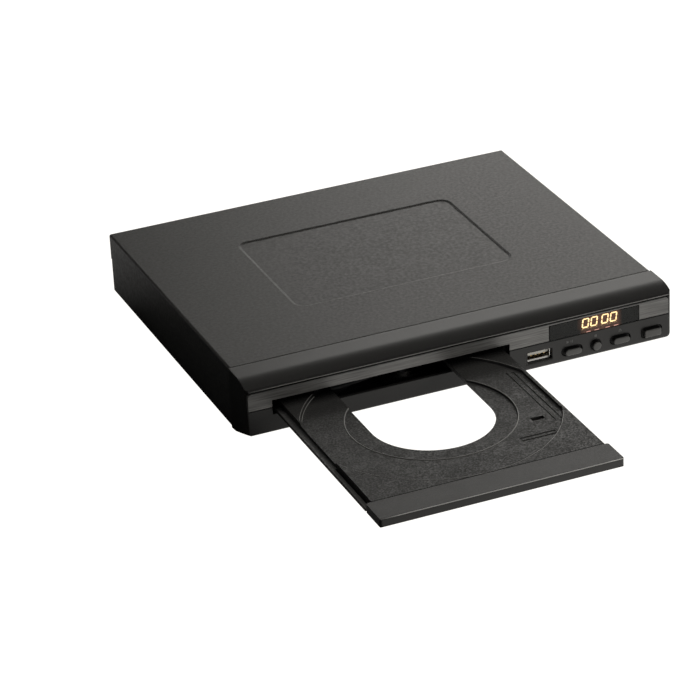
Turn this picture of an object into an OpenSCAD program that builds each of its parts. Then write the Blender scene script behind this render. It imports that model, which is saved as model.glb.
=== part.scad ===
// Compact disc player with a motor-driven disc tray, shown with the tray out.
// Every sub-part is a module of its own, placed where it sits in the assembly.
// Millimetres, +Z up, +Y to the rear. The table is z = 0 and the middle of the
// whole footprint, tray out, is the origin. All sizes below are measured in a
// working frame whose y = 0 is the flat front face; placed() moves it home.

/* [Case] */
// outside width of the steel cover
case_width = 226.4; // [224:0.2:232]
// length of the steel cover, from the front seam to the rear edge
cover_length = 170.8; // [168:0.2:180]
// height of the top face above the table
case_top = 35.2; // [34.8:0.2:38]
// thickness of the cover and chassis sheet
sheet = 0.8; // [0.6:0.1:1]
// height of the four feet under the chassis
foot_height = 3; // [2.6:0.1:3.2]
// height of the crease along both sides above the table
crease_height = 21.5; // [18:0.5:26]
// radius of each foot
foot_radius = 7; // [5:0.5:9]
// width of the pressed panel in the top face
press_width = 117.3; // [80:0.1:130]
// length of the pressed panel in the top face
press_length = 82.2; // [60:0.2:90]
// how far the socket barrels stand out behind the cover
socket_reach = 7.9; // [6:0.1:9]

/* [Front panel] */
// how far the front panel stands out beside the cover
panel_overhang = 0.4; // [0.2:0.1:2]
// depth of the front panel from its face to the cover seam
panel_depth = 21.5; // [20.5:0.5:23]
// height of the front face's lower edge above the table
chin_height = 7.2; // [6.8:0.1:7.6]
// how far back the sloping underside reaches
chin_depth = 17; // [16:0.5:18]
// radius of the lower corners of the front face
corner_round = 4; // [2:0.5:4.5]
// radius of the curved top edge above the lip
nose_round = 20; // [18:1:24]
// lower edge of the trim strip above the table
strip_bottom = 20.9; // [20.3:0.1:21.3]
// clearance between each button and its opening
button_gap = 0.8; // [0.5:0.05:0.9]
// upper edge of the trim strip above the table
strip_top = 29.9; // [29.5:0.1:30.2]
// left edge of the display window
window_left = 46.4; // [45.8:0.2:47]
// width of the display window
window_width = 49.6; // [49:0.2:51]

/* [Tray] */
// sideways position of the tray's middle, left of the case's middle
tray_x = -37.8; // [-38.6:0.2:-37]
// width of the tray's front bar
bezel_width = 122; // [121.4:0.2:122.6]
// depth of the tray's front bar
bezel_depth = 16.4; // [14:0.2:16.6]
// height of the tray's front bar
bezel_height = 4.3; // [4.1:0.1:4.6]
// how far the open tray stands out of the front face
tray_reach = 124.8; // [120:0.2:125.2]
// radius of the recess for a 120 mm disc
recess_radius = 61.9; // [60.5:0.1:62.3]
// radius of the recess for an 80 mm disc
small_recess_radius = 41; // [40.5:0.1:42]
// radius of the opening for the pickup
opening_radius = 30.5; // [30:0.1:30.7]
// width of the slot in the front panel
slot_width = 125.1; // [124.5:0.1:125.9]
// height of the slot in the front panel
slot_height = 7.5; // [7.3:0.1:8]

/* [Mechanism] */
// angle by which the optical deck hangs down while the tray is out
deck_drop = 3.5; // [3.3:0.1:3.6]
// sideways travel of the cam slide that lifts the deck
cam_travel = 14; // [12:0.5:15]
// teeth of the gear that drives the tray rack
rack_gear_teeth = 20; // [19:1:21]
// module of the rack teeth
rack_module = 1; // [0.95:0.05:1]
// teeth of the wide reduction gear
wide_teeth = 36; // [34:1:36]
// teeth of the small gear below the belt wheel
small_teeth = 12; // [12:1:14]
// module of the reduction teeth
wheel_module = 0.8; // [0.75:0.05:0.8]
// play between each pair of tooth flanks
tooth_play = 0.14; // [0.12:0.01:0.2]

/* [Part to show] */
// name of the sub-part to build, or "all"

/* [Hidden] */
$fn = 64;

// case
half_case = case_width / 2;
rear = panel_depth + cover_length;
floor_z = foot_height;
floor_top = foot_height + sheet;
ceiling = case_top - sheet;
middle = (rear + socket_reach - tray_reach) / 2;
rear_wall = rear - 2 * sheet;
foot_x = half_case - 18.2;
foot_spots = [[-foot_x, 36], [foot_x, 36], [-foot_x, rear - 18], [foot_x, rear - 18]];
tab_spots = [17.2 - half_case, -4, 66];
bend_radius = 1;
side_step = 0.25;
press_x = 0.4;
press_y = 66.8;
press_depth = 0.45;

// front panel
half_panel = half_case + panel_overhang;
panel_wall = 2;
chin_round = 1.6;
chin_slope = atan2(chin_height - floor_z, chin_depth);
nose_y = 10;
nose_foot = -0.2;
lip_y = -1.2;
face_corner = 1.2;
strip_half = half_panel - 1.2;
strip_corner = 2;
strip_gap = 0.25;
board_posts = [[33, 30], [50, 10.2], [94, 10.2], [half_panel - 5.6, 30]];
flange_grow = 1.3;
tab_z = floor_z + panel_wall + 0.9;

// tray
bezel_left = tray_x - bezel_width / 2;
bezel_right = tray_x + bezel_width / 2;
bezel_base = 18.1;
bezel_top = bezel_base + bezel_height;
deck_left = bezel_left + 3.2;
deck_right = bezel_right - 1.6;
deck_front = bezel_depth - tray_reach + 0.6;
rack_front = deck_front + 3.4;
rim_x = deck_right - 1.6;
deck_rear = 30;
deck_top = bezel_top - 0.2;
deck_under = 19;
disc_floor = 21;
disc_y = 79.4 - tray_reach;
slot_left = tray_x + 0.2 - slot_width / 2;
slot_right = slot_left + slot_width;
slot_base = 16.9;
closed_y = 79;

// gear train, axes seen from above
gear_y = 24;
rack_radius = rack_module * rack_gear_teeth / 2;
rack_line = deck_left + 5.5;
drive_x = rack_line + rack_radius;
wheel_gap = wheel_module * (wide_teeth + small_teeth) / 2;
pulley_x = drive_x + wheel_gap;
motor_x = pulley_x + 38;
pulley_radius = 9;
motor_radius = 2.5;
belt_z = 15;
loader_base = 6;
loader_top = 7.6;
loader_front = 12.3;
wall_left = slot_left - 3.4;
wall_right = slot_right + 2.9;
bridge_z = 26;
bridge_screws = [slot_left - 1.2, slot_right + 0.8];

// swinging deck, drawn level and then lowered about its hinge
hinge_y = 153;
hinge_z = 11;
pin_y = 43;
pin_z = 13.6;
pin_drop = (hinge_y - pin_y) * sin(deck_drop);
pin_low = hinge_z + (pin_z - hinge_z) * cos(deck_drop) - pin_drop;
pin_spots = [-18, 18];
slot_turn = atan2(-pin_drop, cam_travel);
slot_half = 1.68;
bar_inner = 31.1;
bar_outer = 34;
plate_z = 12.3;
rod_x = 21;
rod_z = 15.8;
lens_y = closed_y + 24;
screw_x = 27.5;
screw_z = 14.2;
damper_spots = [[-19.5, 57], [19.5, 57], [-20.5, 145], [20.5, 145]];

// boards
board_z = 8;
board_top = 9.6;
front_board_y = 9;
front_board_back = 10.6;
main_spots = [[-64, 168], [68, 186], [40, 114], [94, 158]];
power_spots = [[40, 34], [102, 34], [40, 96], [102, 96]];
loader_spots = [[-86, 62], [-86, 140], [12, 62], [12, 140]];
// capacitors: x, y, radius, height
capacitor_list = [
  [94, 66, 8, 18], [55, 44, 4, 12], [65.6, 44, 4, 12], [76, 44.6, 5, 14],
  [46, 150, 3.2, 8], [60, 152, 3.2, 8], [-2, 183, 2.5, 7]
];
rca_spots = [-50, -36, -22];
rca_z = 17.5;
collar_reach = 2.4;
barrel_radius = 4.15;
barrel_seat = 3.8;
barrel_bore = 3.4;
inlet_x = half_case - 23.2;
power_right = half_case - 7.2;
inlet_z = 18;

// front controls: centre x, width, height, kind
button_z = 13;
button_left = [58.8, 10, 3.4];
button_round = [71.8, 4.6, 4.6];
button_middle = [85.4, 10, 3.4];
button_right = [102.8, 10, 4.2];
usb_x = 40.8;
usb_z = 13.9;
key_spots = [button_left[0], button_round[0], button_middle[0], button_right[0]];
key_floor = button_z - button_round[2] / 2 - flange_grow - 0.3;

// figures of the display
digit_base = 21.9;
digit_lefts = [66.2, 70.9, 76.9, 81.6];
digit_wide = 3.2;
digit_high = 4.6;

// ---------------------------------------------------------------- helpers

// moves the working frame to the origin of the whole object
module placed() translate([0, -middle, 0]) children();

// block between two corners
module span(a, b) translate(a) cube(b - a);

// upright cylinder or cone
module post(x, y, z0, z1, r, r2 = 0)
  translate([x, y, z0])
    cylinder(h = z1 - z0, r1 = r, r2 = r2 > 0 ? r2 : r);

// cylinder along +Y
module rod_y(x, z, y0, y1, r)
  translate([x, y0, z])
    rotate([-90, 0, 0])
      cylinder(h = y1 - y0, r = r);

// cylinder along +X
module rod_x(y, z, x0, x1, r)
  translate([x0, y, z])
    rotate([0, 90, 0])
      cylinder(h = x1 - x0, r = r);

// flat outline (x, z) pushed back from y0 to y1
module pushed(y0, y1)
  translate([0, y1, 0])
    rotate([90, 0, 0])
      linear_extrude(height = y1 - y0)
        children();

// outline (y, z) drawn out along X between x0 and x1
module drawn(x0, x1)
  translate([x0, 0, 0])
    rotate([90, 0, 90])
      linear_extrude(height = x1 - x0)
        children();

// points of an arc, counted from angle a to angle b
function arc(cx, cy, r, a, b, n) = [
  for (i = [0:n])
    let (turn = a + (b - a) * i / n)
      [cx + r * cos(turn), cy + r * sin(turn)]
];

// rectangle with rounded corners between two corners
module soft_rect(x0, y0, x1, y1, r) {
  translate([x0 + r, y0])
    square([x1 - x0 - 2 * r, y1 - y0]);
  translate([x0, y0 + r])
    square([x1 - x0, y1 - y0 - 2 * r]);
  for (x = [x0 + r, x1 - r])
    for (y = [y0 + r, y1 - r])
      translate([x, y])
        circle(r = r);
}

// involute function and one flank point
function inv(a) = tan(a) * 180 / PI - a;
function flank_angle(base, pitch, half, r) =
  half + inv(acos(base / pitch)) - inv(acos(min(1, base / r)));

// outline of a spur gear, first tooth on +X
function tooth(m, n, i) =
  let (
    pitch = m * n / 2,
    base = pitch * cos(20),
    tip = pitch + 0.8 * m,
    root = pitch - 1.1 * m,
    low = max(base, root) + 0.001,
    half = (90 - tooth_play / m * 90 / PI) / n,
    steps = 4,
    mid = 360 * i / n
  )
  concat(
    [[root, mid - flank_angle(base, pitch, half, low)]],
    [
      for (k = [0:steps])
        let (r = low + (tip - low) * k / steps)
          [r, mid - flank_angle(base, pitch, half, r)]
    ],
    [
      for (k = [0:steps])
        let (r = tip + (low - tip) * k / steps)
          [r, mid + flank_angle(base, pitch, half, r)]
    ],
    [[root, mid + flank_angle(base, pitch, half, low)]]
  );

module gear_outline(m, n)
  polygon([for (i = [0:n - 1]) for (p = tooth(m, n, i)) [p[0] * cos(p[1]), p[0] * sin(p[1])]]);

// capsule or round outline in x, z about a centre
module key_outline(key, grow, corner) {
  r = min(corner, key[2] / 2) + grow;
  soft_rect(
    key[0] - key[1] / 2 - grow,
    button_z - key[2] / 2 - grow,
    key[0] + key[1] / 2 + grow,
    button_z + key[2] / 2 + grow,
    min(r, key[2] / 2 + grow - 0.001)
  );
}

// pan-head screw with a cross recess, pointing down from its seat
module screw(h, head, shank)
  difference() {
    union() {
      cylinder(h = 1.6, r1 = head, r2 = head * 0.75);
      translate([0, 0, -h])
        cylinder(h = h, r = shank);
    }
    for (turn = [0, 90])
      rotate([0, 0, turn])
        translate([-head * 0.5, -0.3, 0.8])
          cube([head, 0.6, 1]);
  }

// lowers the level deck about its hinge to the tray-out position
module lowered()
  translate([tray_x, hinge_y, hinge_z])
    rotate([deck_drop, 0, 0])
      translate([0, -hinge_y, -hinge_z])
        children();

// ---------------------------------------------------------------- case

// outline of the pressed panel in the top face, grown all round
module press_outline(grow)
  soft_rect(
    press_x - press_width / 2 - grow,
    press_y - grow,
    press_x + press_width / 2 + grow,
    press_y + press_length + grow,
    5.3 + grow
  );

// steel cover: top face and both sides in one bent sheet, three rear tabs
module top_cover() color("#4b4a48") placed() difference() {
  union() {
    difference() {
      pushed(panel_depth, rear)
        soft_rect(-half_case, floor_z - 4, half_case, case_top, bend_radius);
      pushed(panel_depth - 1, rear + 1)
        soft_rect(-half_case + sheet, floor_z - 8, half_case - sheet, ceiling, 0.3);
      span([-half_case - 1, panel_depth - 1, floor_z - 6], [half_case + 1, rear + 1, floor_z + 0.2]);
    }
    // underside of the pressed panel
    translate([0, 0, ceiling - press_depth])
      linear_extrude(height = press_depth + 0.05)
        press_outline(1.8);
    // rear tabs that take the case screws
    for (x = tab_spots)
      span([x - 7, rear - sheet, case_top - 10], [x + 7, rear, ceiling + 0.1]);
  }
  // pressed panel in the top face, its sloping edge drawn in three steps
  for (i = [0:2])
    translate([0, 0, case_top - press_depth * (i + 1) / 3])
      linear_extrude(height = 1)
        press_outline(1 - i * 0.5);
  // both sides stand a little further in below the crease
  for (side = [-1, 1])
    translate([side * half_case - side_step, panel_depth - 1, floor_z - 1])
      cube([2 * side_step, cover_length + 2, crease_height - floor_z + 1]);
  for (x = tab_spots)
    rod_y(x, case_top - 5.5, rear - 2, rear + 1, 1.4);
}

// galvanised chassis: floor, low side walls, rear wall and board posts
module bottom_chassis() color("#9a9c9e") placed() difference() {
  union() {
    span([-half_case + sheet, panel_depth + 0.6, floor_z], [half_case - sheet, rear - sheet, floor_top]);
    for (side = [-1, 1])
      translate([side * (half_case - 1.5 * sheet) - sheet / 2, panel_depth + 0.6, floor_z])
        cube([sheet, rear_wall - panel_depth, 9]);
    span([-half_case + sheet, rear_wall, floor_z], [half_case - sheet, rear - sheet, ceiling]);
    // turned-up front edge
    span(
      [-half_case + 8, panel_depth + 0.6, floor_z],
      [half_case - 8, panel_depth + 0.6 + sheet, floor_top + 1.2]
    );
    // stiffening beads
    for (y = [closed_y + 33, closed_y + 43])
      span([-60, y, floor_top - 0.1], [-16, y + 2, floor_top + 0.5]);
    for (spot = main_spots)
      post(spot[0], spot[1], floor_top - 0.1, board_z, 3.2);
    for (spot = power_spots)
      post(spot[0], spot[1], floor_top - 0.1, board_z, 3.2);
    for (spot = loader_spots)
      post(spot[0], spot[1], floor_top - 0.1, 6, 3.6);
  }
  // screw holes in the posts
  for (spot = main_spots)
    post(spot[0], spot[1], floor_z - 1, board_z + 1, 1.25);
  for (spot = power_spots)
    post(spot[0], spot[1], floor_z - 1, board_z + 1, 1.25);
  for (spot = loader_spots)
    post(spot[0], spot[1], floor_z - 1, 7, 1.25);
  // foot plugs
  for (spot = foot_spots)
    post(spot[0], spot[1], floor_z - 1, floor_top + 1, 2.5);
  // floor vents under the power board and the deck
  for (i = [0:9])
    translate([50 + i * 5, 50, floor_z - 1])
      linear_extrude(height = 3)
        soft_rect(0, 0, 2.4, 30, 1.1);
  for (i = [0:7])
    translate([-58 + i * 5, 132, floor_z - 1])
      linear_extrude(height = 3)
        soft_rect(0, 0, 2.4, 24, 1.1);
  // rear wall: vents, sockets, mains inlet, case screws
  for (i = [0:7])
    span([9.2 - half_case + i * 4.4, rear_wall - 1, 12], [11.2 - half_case + i * 4.4, rear, 28]);
  for (x = rca_spots)
    rod_y(x, rca_z, rear_wall - 1, rear, 5.8);
  span([9.6, rear_wall - 1, board_top - 0.3], [25.4, rear, board_top + 6.4]);
  pushed(rear_wall - 1, rear)
    soft_rect(inlet_x - 12, inlet_z - 6.5, inlet_x + 12, inlet_z + 6.5, 1.5);
  for (x = tab_spots)
    rod_y(x, case_top - 5.5, rear_wall - 1, rear, 1.2);
}

// four rubber feet with plugs through the chassis floor
module feet() color("#1c1c1c") placed() for (spot = foot_spots) {
  post(spot[0], spot[1], 0, foot_height - 0.8, foot_radius - 0.8, foot_radius);
  post(spot[0], spot[1], foot_height - 0.8, foot_height, foot_radius);
  post(spot[0], spot[1], foot_height, foot_height + 1.8, 2.45);
}

// screws that hold the cover's rear tabs
module case_screws() color("#2b2b2c") placed() for (x = tab_spots)
  translate([x, rear, case_top - 5.5])
    rotate([-90, 0, 0])
      screw(5, 2.6, 1.15);

// screws of the boards, the loader frame and the clamp bridge
module inner_screws() color("#b8b8b4") placed() {
  for (spot = concat(main_spots, power_spots))
    translate([spot[0], spot[1], board_top])
      screw(5, 2.6, 1.2);
  for (spot = loader_spots)
    translate([spot[0], spot[1], loader_top])
      screw(3.6, 2.8, 1.2);
  for (x = bridge_screws)
    translate([x, closed_y, bridge_z + 1])
      screw(5, 1.9, 0.9);
}

// ---------------------------------------------------------------- front panel

// side outline of the panel, y to the rear, z up
module panel_side() polygon(concat(
  [[panel_depth, floor_z], [chin_depth, floor_z]],
  arc(chin_round, chin_height + chin_round, chin_round, 270 - chin_slope, 180, 6),
  // groove above the strip, then the lip
  [[0, strip_top + 0.1], [1.3, strip_top + 0.1], [1.3, strip_top + 0.8]],
  [[lip_y + 0.6, strip_top + 1.1], [lip_y, strip_top + 1.4], [lip_y, strip_top + 1.9]],
  [[nose_foot, strip_top + 2.3]],
  arc(nose_y, case_top - nose_round, nose_round, 180 - acos((nose_y - nose_foot) / nose_round), 90, 12),
  [[panel_depth, case_top]]
));

// inside of the panel
module panel_hollow() polygon([
  [panel_depth + 1, floor_z + panel_wall],
  [chin_depth - 3.5, floor_z + panel_wall],
  [panel_wall + 1.5, key_floor - 1],
  [panel_wall, key_floor],
  [panel_wall, strip_bottom - 2.8],
  [2.8, strip_bottom - 2],
  [2.8, strip_top + 0.4],
  [5, case_top - 3.4],
  [nose_y, case_top - panel_wall],
  [panel_depth + 1, case_top - panel_wall]
]);

// front view of the trim strip, grown by its gap for the recess
module strip_outline(grow) {
  end = strip_half + grow;
  corner = strip_corner + grow;
  translate([-end, strip_bottom - grow])
    square([2 * end, strip_top - strip_bottom - strip_corner + grow]);
  translate([corner - end, strip_bottom])
    square([2 * (end - corner), strip_top - strip_bottom + grow]);
  for (side = [-1, 1])
    translate([side * (end - corner), strip_top - strip_corner])
      circle(r = corner);
}

// rounds a lower front corner, fading out towards the seam
module corner_cutter(side)
  translate([side * half_panel, 0, chin_height])
    rotate([-atan2(chin_height - floor_z + corner_round, panel_depth), 0, 0])
      pushed(-6, panel_depth + 4)
        difference() {
          translate([side > 0 ? -corner_round : -3, -corner_round])
            square([corner_round + 3, 2 * corner_round]);
          translate([-side * corner_round, corner_round])
            circle(r = corner_round);
        }

// moulded front panel with all its openings
module front_panel() color("#3b3b3a") placed() difference() {
  union() {
    intersection() {
      difference() {
        drawn(-half_panel, half_panel) panel_side();
        drawn(-half_panel + panel_wall, half_panel - panel_wall) panel_hollow();
      }
      // plan outline with rounded front corners
      linear_extrude(height = case_top + 2) {
        translate([-half_panel + face_corner, lip_y - 1])
          square([2 * (half_panel - face_corner), panel_depth - lip_y + 1]);
        translate([-half_panel, face_corner])
          square([2 * half_panel, panel_depth - face_corner]);
        for (side = [-1, 1])
          translate([side * (half_panel - face_corner), face_corner])
            circle(r = face_corner);
      }
    }
    // snap tabs that grip the chassis floor
    for (x = [-90, -42, 10, 60, 100]) {
      span([x - 4, panel_depth - 3, tab_z - 1], [x + 4, panel_depth, tab_z]);
      span([x - 4, panel_depth - 0.1, floor_top + 1.3], [x + 4, panel_depth + 2, tab_z]);
    }
    // ribs that hold the cover's front edge
    for (x = [8 - half_panel, -30, 30, half_panel - 8])
      span([x - 1.2, panel_depth - 8, ceiling - panel_wall - 0.1], [x + 1.2, panel_depth + 5, ceiling]);
    // posts for the front board
    for (spot = board_posts)
      rod_y(spot[0], spot[1], 1.9, front_board_y, 1.8);
  }
  for (side = [-1, 1])
    corner_cutter(side);
  // seam in front of the cover
  span(
    [-half_panel - 1, panel_depth - 0.5, case_top - 0.7],
    [half_panel + 1, panel_depth + 0.1, case_top + 1]
  );
  // recess of the trim strip, deeper along its lower edge
  pushed(-2, 0.8) strip_outline(strip_gap);
  span([-strip_half - strip_gap, -2, strip_bottom - 0.45], [strip_half + strip_gap, 1.2, strip_bottom]);
  // tray slot
  span([slot_left, -3, slot_base], [slot_right, panel_depth + 2, slot_base + slot_height]);
  // light path of the display window
  span([window_left + 1.2, -1, strip_bottom + 1], [window_left + window_width - 1.2, 4, strip_top - 1.4]);
  // USB socket
  span([usb_x - 7.3, -1, usb_z - 3.45], [usb_x + 7.3, 5, usb_z + 3.45]);
  // button openings
  for (key = [button_left, button_round, button_middle])
    pushed(-2, 6) key_outline(key, button_gap, 9);
  pushed(-2, 6) key_outline(button_right, button_gap, 1);
}

// trim strip with a notch for the tray and a hole for the window
module fascia_strip() color("#474744") placed() difference() {
  pushed(0, 0.8) strip_outline(0);
  span([slot_left, -1, strip_bottom - 1], [slot_right, 2, slot_base + slot_height]);
  span([window_left, -1, strip_bottom - 1], [window_left + window_width, 2, strip_top - 0.7]);
}

// smoked window of the display, a shallow tray of clear plastic
module display_window() color("#2c2e2f") placed() {
  difference() {
    span(
      [window_left + 0.2, -0.15, strip_bottom],
      [window_left + window_width - 0.2, 0.8, strip_top - 0.9]
    );
    for (side = [0, 1])
      translate([window_left + 0.2 + side * (window_width - 0.4), -0.15, strip_bottom - 1])
        rotate([0, 0, 45])
          cube([0.4, 0.4, 40], center = true);
  }
  span(
    [window_left + 1.5, 0.8, strip_bottom + 1.3],
    [window_left + window_width - 1.5, 2, strip_top - 1.7]
  );
}

// front button: cap, retaining flange and pusher in one moulding
module key_body(key, corner) {
  pushed(-1.3, 2.3) key_outline(key, 0, corner);
  pushed(2.3, 3.8) key_outline(key, flange_grow, corner);
}

module play_button() color("#565654") placed() key_body(button_left, 9);

module stop_button() color("#565654") placed() {
  rod_y(button_round[0], button_z, -1.3, 2.3, button_round[1] / 2);
  rod_y(button_round[0], button_z, 2.3, 3.8, button_round[1] / 2 + flange_grow);
}

module eject_button() color("#565654") placed() key_body(button_middle, 9);

module power_button() color("#4a4a48") placed() key_body(button_right, 0.8);

// circuit board behind the panel
module front_board() color("#6b5a2c") placed() difference() {
  span([31, front_board_y, 8], [half_panel - panel_wall - 0.8, front_board_back, 32.4]);
  for (spot = board_posts)
    rod_y(spot[0], spot[1], front_board_y - 1, front_board_back + 1, 1.1);
}

// four small switches, one behind each button
module tact_switches() color("#26282a") placed() for (x = key_spots) {
  span([x - 3, 5.8, button_z - 3], [x + 3, front_board_y, button_z + 3]);
  rod_y(x, button_z, 4.9, 5.8, 1.7);
}

// steel shell of the USB socket
module usb_shell() color("#c8c9c6") placed() difference() {
  span([usb_x - 6.7, 0.3, usb_z - 2.85], [usb_x + 6.7, front_board_y, usb_z + 2.85]);
  span([usb_x - 6.3, -1, usb_z - 2.45], [usb_x + 6.3, front_board_y - 0.6, usb_z + 2.45]);
  // spring windows in the upper and lower face
  for (x = [-3, 3])
    span([usb_x + x - 1, 2.5, usb_z - 4], [usb_x + x + 1, 6, usb_z + 4]);
}

// contact tongue inside the USB socket
module usb_tongue() color("#e8e6df") placed() {
  span([usb_x - 5.5, 0.8, usb_z + 0.3], [usb_x + 5.5, front_board_y - 0.6, usb_z + 2.1]);
  span([usb_x - 6.3, 7.4, usb_z - 2.45], [usb_x + 6.3, front_board_y - 0.6, usb_z + 2.45]);
}

// body of the four-figure light display
module display_module() color("#141414") placed() {
  span([60, 3.6, strip_bottom + 0.1], [92, 7.5, strip_top - 1.2]);
  span([62, 7.5, strip_bottom + 1], [90, front_board_y, strip_top - 2]);
}

// one slanted bar of a figure, from point a to point b
module bar(a, b) {
  d = (b - a) / norm(b - a);
  n = [-d[1], d[0]] * 0.3;
  polygon([a + 0.1 * d, a + 0.4 * d + n, b - 0.4 * d + n, b - 0.1 * d, b - 0.4 * d - n, a + 0.4 * d - n]);
}

// corner points of a figure with the usual slant
function digit_point(x, i, j) = [x + i * digit_wide + j * 0.28, digit_base + j * digit_high / 2];

// the lit bars: four noughts
module display_digits() color("#f2d27a") placed() pushed(3.3, 3.6) for (x = digit_lefts) {
  bar(digit_point(x, 0, 0), digit_point(x, 1, 0));
  bar(digit_point(x, 0, 2), digit_point(x, 1, 2));
  for (i = [0, 1])
    for (j = [0, 1])
      bar(digit_point(x, i, j), digit_point(x, i, j + 1));
}

// infra-red receiver behind the window
module ir_receiver() color("#1b1714") placed() {
  span([50, 5.2, 22], [55.6, 7.6, 28.6]);
  rod_y(52.8, 25.2, 4, 5.2, 2.2);
  span([51, 7.6, 23], [54.6, front_board_y, 24]);
}

// ---------------------------------------------------------------- tray

// rack teeth along the underside, pointing at the drive gear
module rack_outline() {
  pitch = PI * rack_module;
  half = pitch / 4 - tooth_play / 2;
  slope = tan(20);
  up = 0.8 * rack_module;
  down = 1.1 * rack_module;
  first = ceil((rack_front + 0.5 - gear_y) / pitch);
  last = floor((28 - gear_y) / pitch);
  polygon(concat(
    [[rack_line - 3.4, rack_front]],
    [[rack_line - down, rack_front]],
    [for (k = [first + 1:last - 1])
      let (y = gear_y + (k + 0.5) * pitch)
      for (p = [
      [rack_line - down, y - half - down * slope],
      [rack_line + up, y - half + up * slope],
      [rack_line + up, y + half - up * slope],
      [rack_line - down, y + half + down * slope]
    ]) p],
    [[rack_line - down, 28.5], [rack_line - 3.4, 28.5]]
  ));
}

// plan outline of the pickup opening, open to the rear
module pickup_opening(y_end) {
  translate([tray_x, disc_y])
    circle(r = opening_radius);
  translate([tray_x - opening_radius, disc_y])
    square([2 * opening_radius, y_end - disc_y]);
}

// disc tray: deck with two disc recesses, side flanges, rack and ribs
module disc_tray() color("#3b3b3a") placed() {
  difference() {
    union() {
      span([deck_left, deck_front, deck_under], [deck_right, deck_rear, deck_top]);
      // side walls down to the flanges
      span([deck_left, deck_front, bezel_base], [deck_left + 1.3, deck_rear, deck_under + 0.1]);
      span([deck_right - 1.3, deck_front, bezel_base], [deck_right, deck_rear, deck_under + 0.1]);
      // sliding flanges
      span([bezel_left, deck_front, bezel_base], [deck_left + 0.1, deck_rear, bezel_base + 1.3]);
      span([deck_right - 0.1, deck_front, bezel_base], [bezel_right, deck_rear, bezel_base + 1.3]);
      // tongue inside the front bar
      span(
        [deck_left + 5, 2 - tray_reach, deck_under + 0.5],
        [deck_right - 5, deck_front + 0.1, bezel_top - 1.6]
      );
      // stiffening ribs below the deck
      span(
        [deck_left + 34, deck_front + 8, bezel_base + 0.1],
        [deck_right - 4, deck_front + 9.2, deck_under + 0.1]
      );
      span(
        [deck_right - 9, deck_front + 10, bezel_base + 0.1],
        [deck_right - 7.8, deck_rear - 1, deck_under + 0.1]
      );
    }
    // recess for 120 mm discs and the lower one for 80 mm discs
    difference() {
      post(tray_x, disc_y, disc_floor, deck_top + 1, recess_radius - 0.5, recess_radius + 0.3);
      span([rim_x, disc_y - 20, disc_floor - 1], [deck_right + 5, disc_y + 20, deck_top + 2]);
    }
    post(
      tray_x, disc_y, disc_floor - 0.8, deck_top + 1,
      small_recess_radius - 0.4, small_recess_radius + 0.8
    );
    // pickup opening
    translate([0, 0, deck_under - 3])
      linear_extrude(height = 10)
        pickup_opening(deck_rear + 1);
    // sensor window in the floor
    span([tray_x + 40.8, disc_y - 25.3, deck_under - 1], [tray_x + 47.2, disc_y - 22.4, deck_top + 1]);
    // shallow guide marks beside the recess
    for (x = [50, 53.2])
      span([tray_x + x, disc_y - 29, disc_floor - 0.25], [tray_x + x + 1.1, disc_y + 24, disc_floor + 0.1]);
    for (y = [-38.8, -41.4])
      span([tray_x + 28, disc_y + y, disc_floor - 0.25], [tray_x + 46, disc_y + y + 1.1, disc_floor + 0.1]);
  }
  translate([0, 0, 17.5])
    linear_extrude(height = deck_under - 17.4)
      rack_outline();
}

// front bar of the tray, hollow from below
module tray_bezel() color("#4a4b49") placed() difference() {
  intersection() {
    drawn(bezel_left, bezel_right) polygon(concat(
      [[bezel_depth - tray_reach, bezel_base]],
      [[0.3 - tray_reach, bezel_base], [-tray_reach, bezel_base + 0.3]],
      arc(0.6 - tray_reach, bezel_top - 0.6, 0.6, 180, 90, 4),
      [[bezel_depth - tray_reach, bezel_top]]
    ));
    linear_extrude(height = 40)
      soft_rect(bezel_left, -tray_reach, bezel_right, bezel_depth - tray_reach, 1.2);
  }
  span(
    [bezel_left + 1.6, 1.6 - tray_reach, bezel_base - 1],
    [bezel_right - 1.6, bezel_depth - tray_reach + 1, bezel_top - 1.6]
  );
}

// ---------------------------------------------------------------- loader

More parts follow.
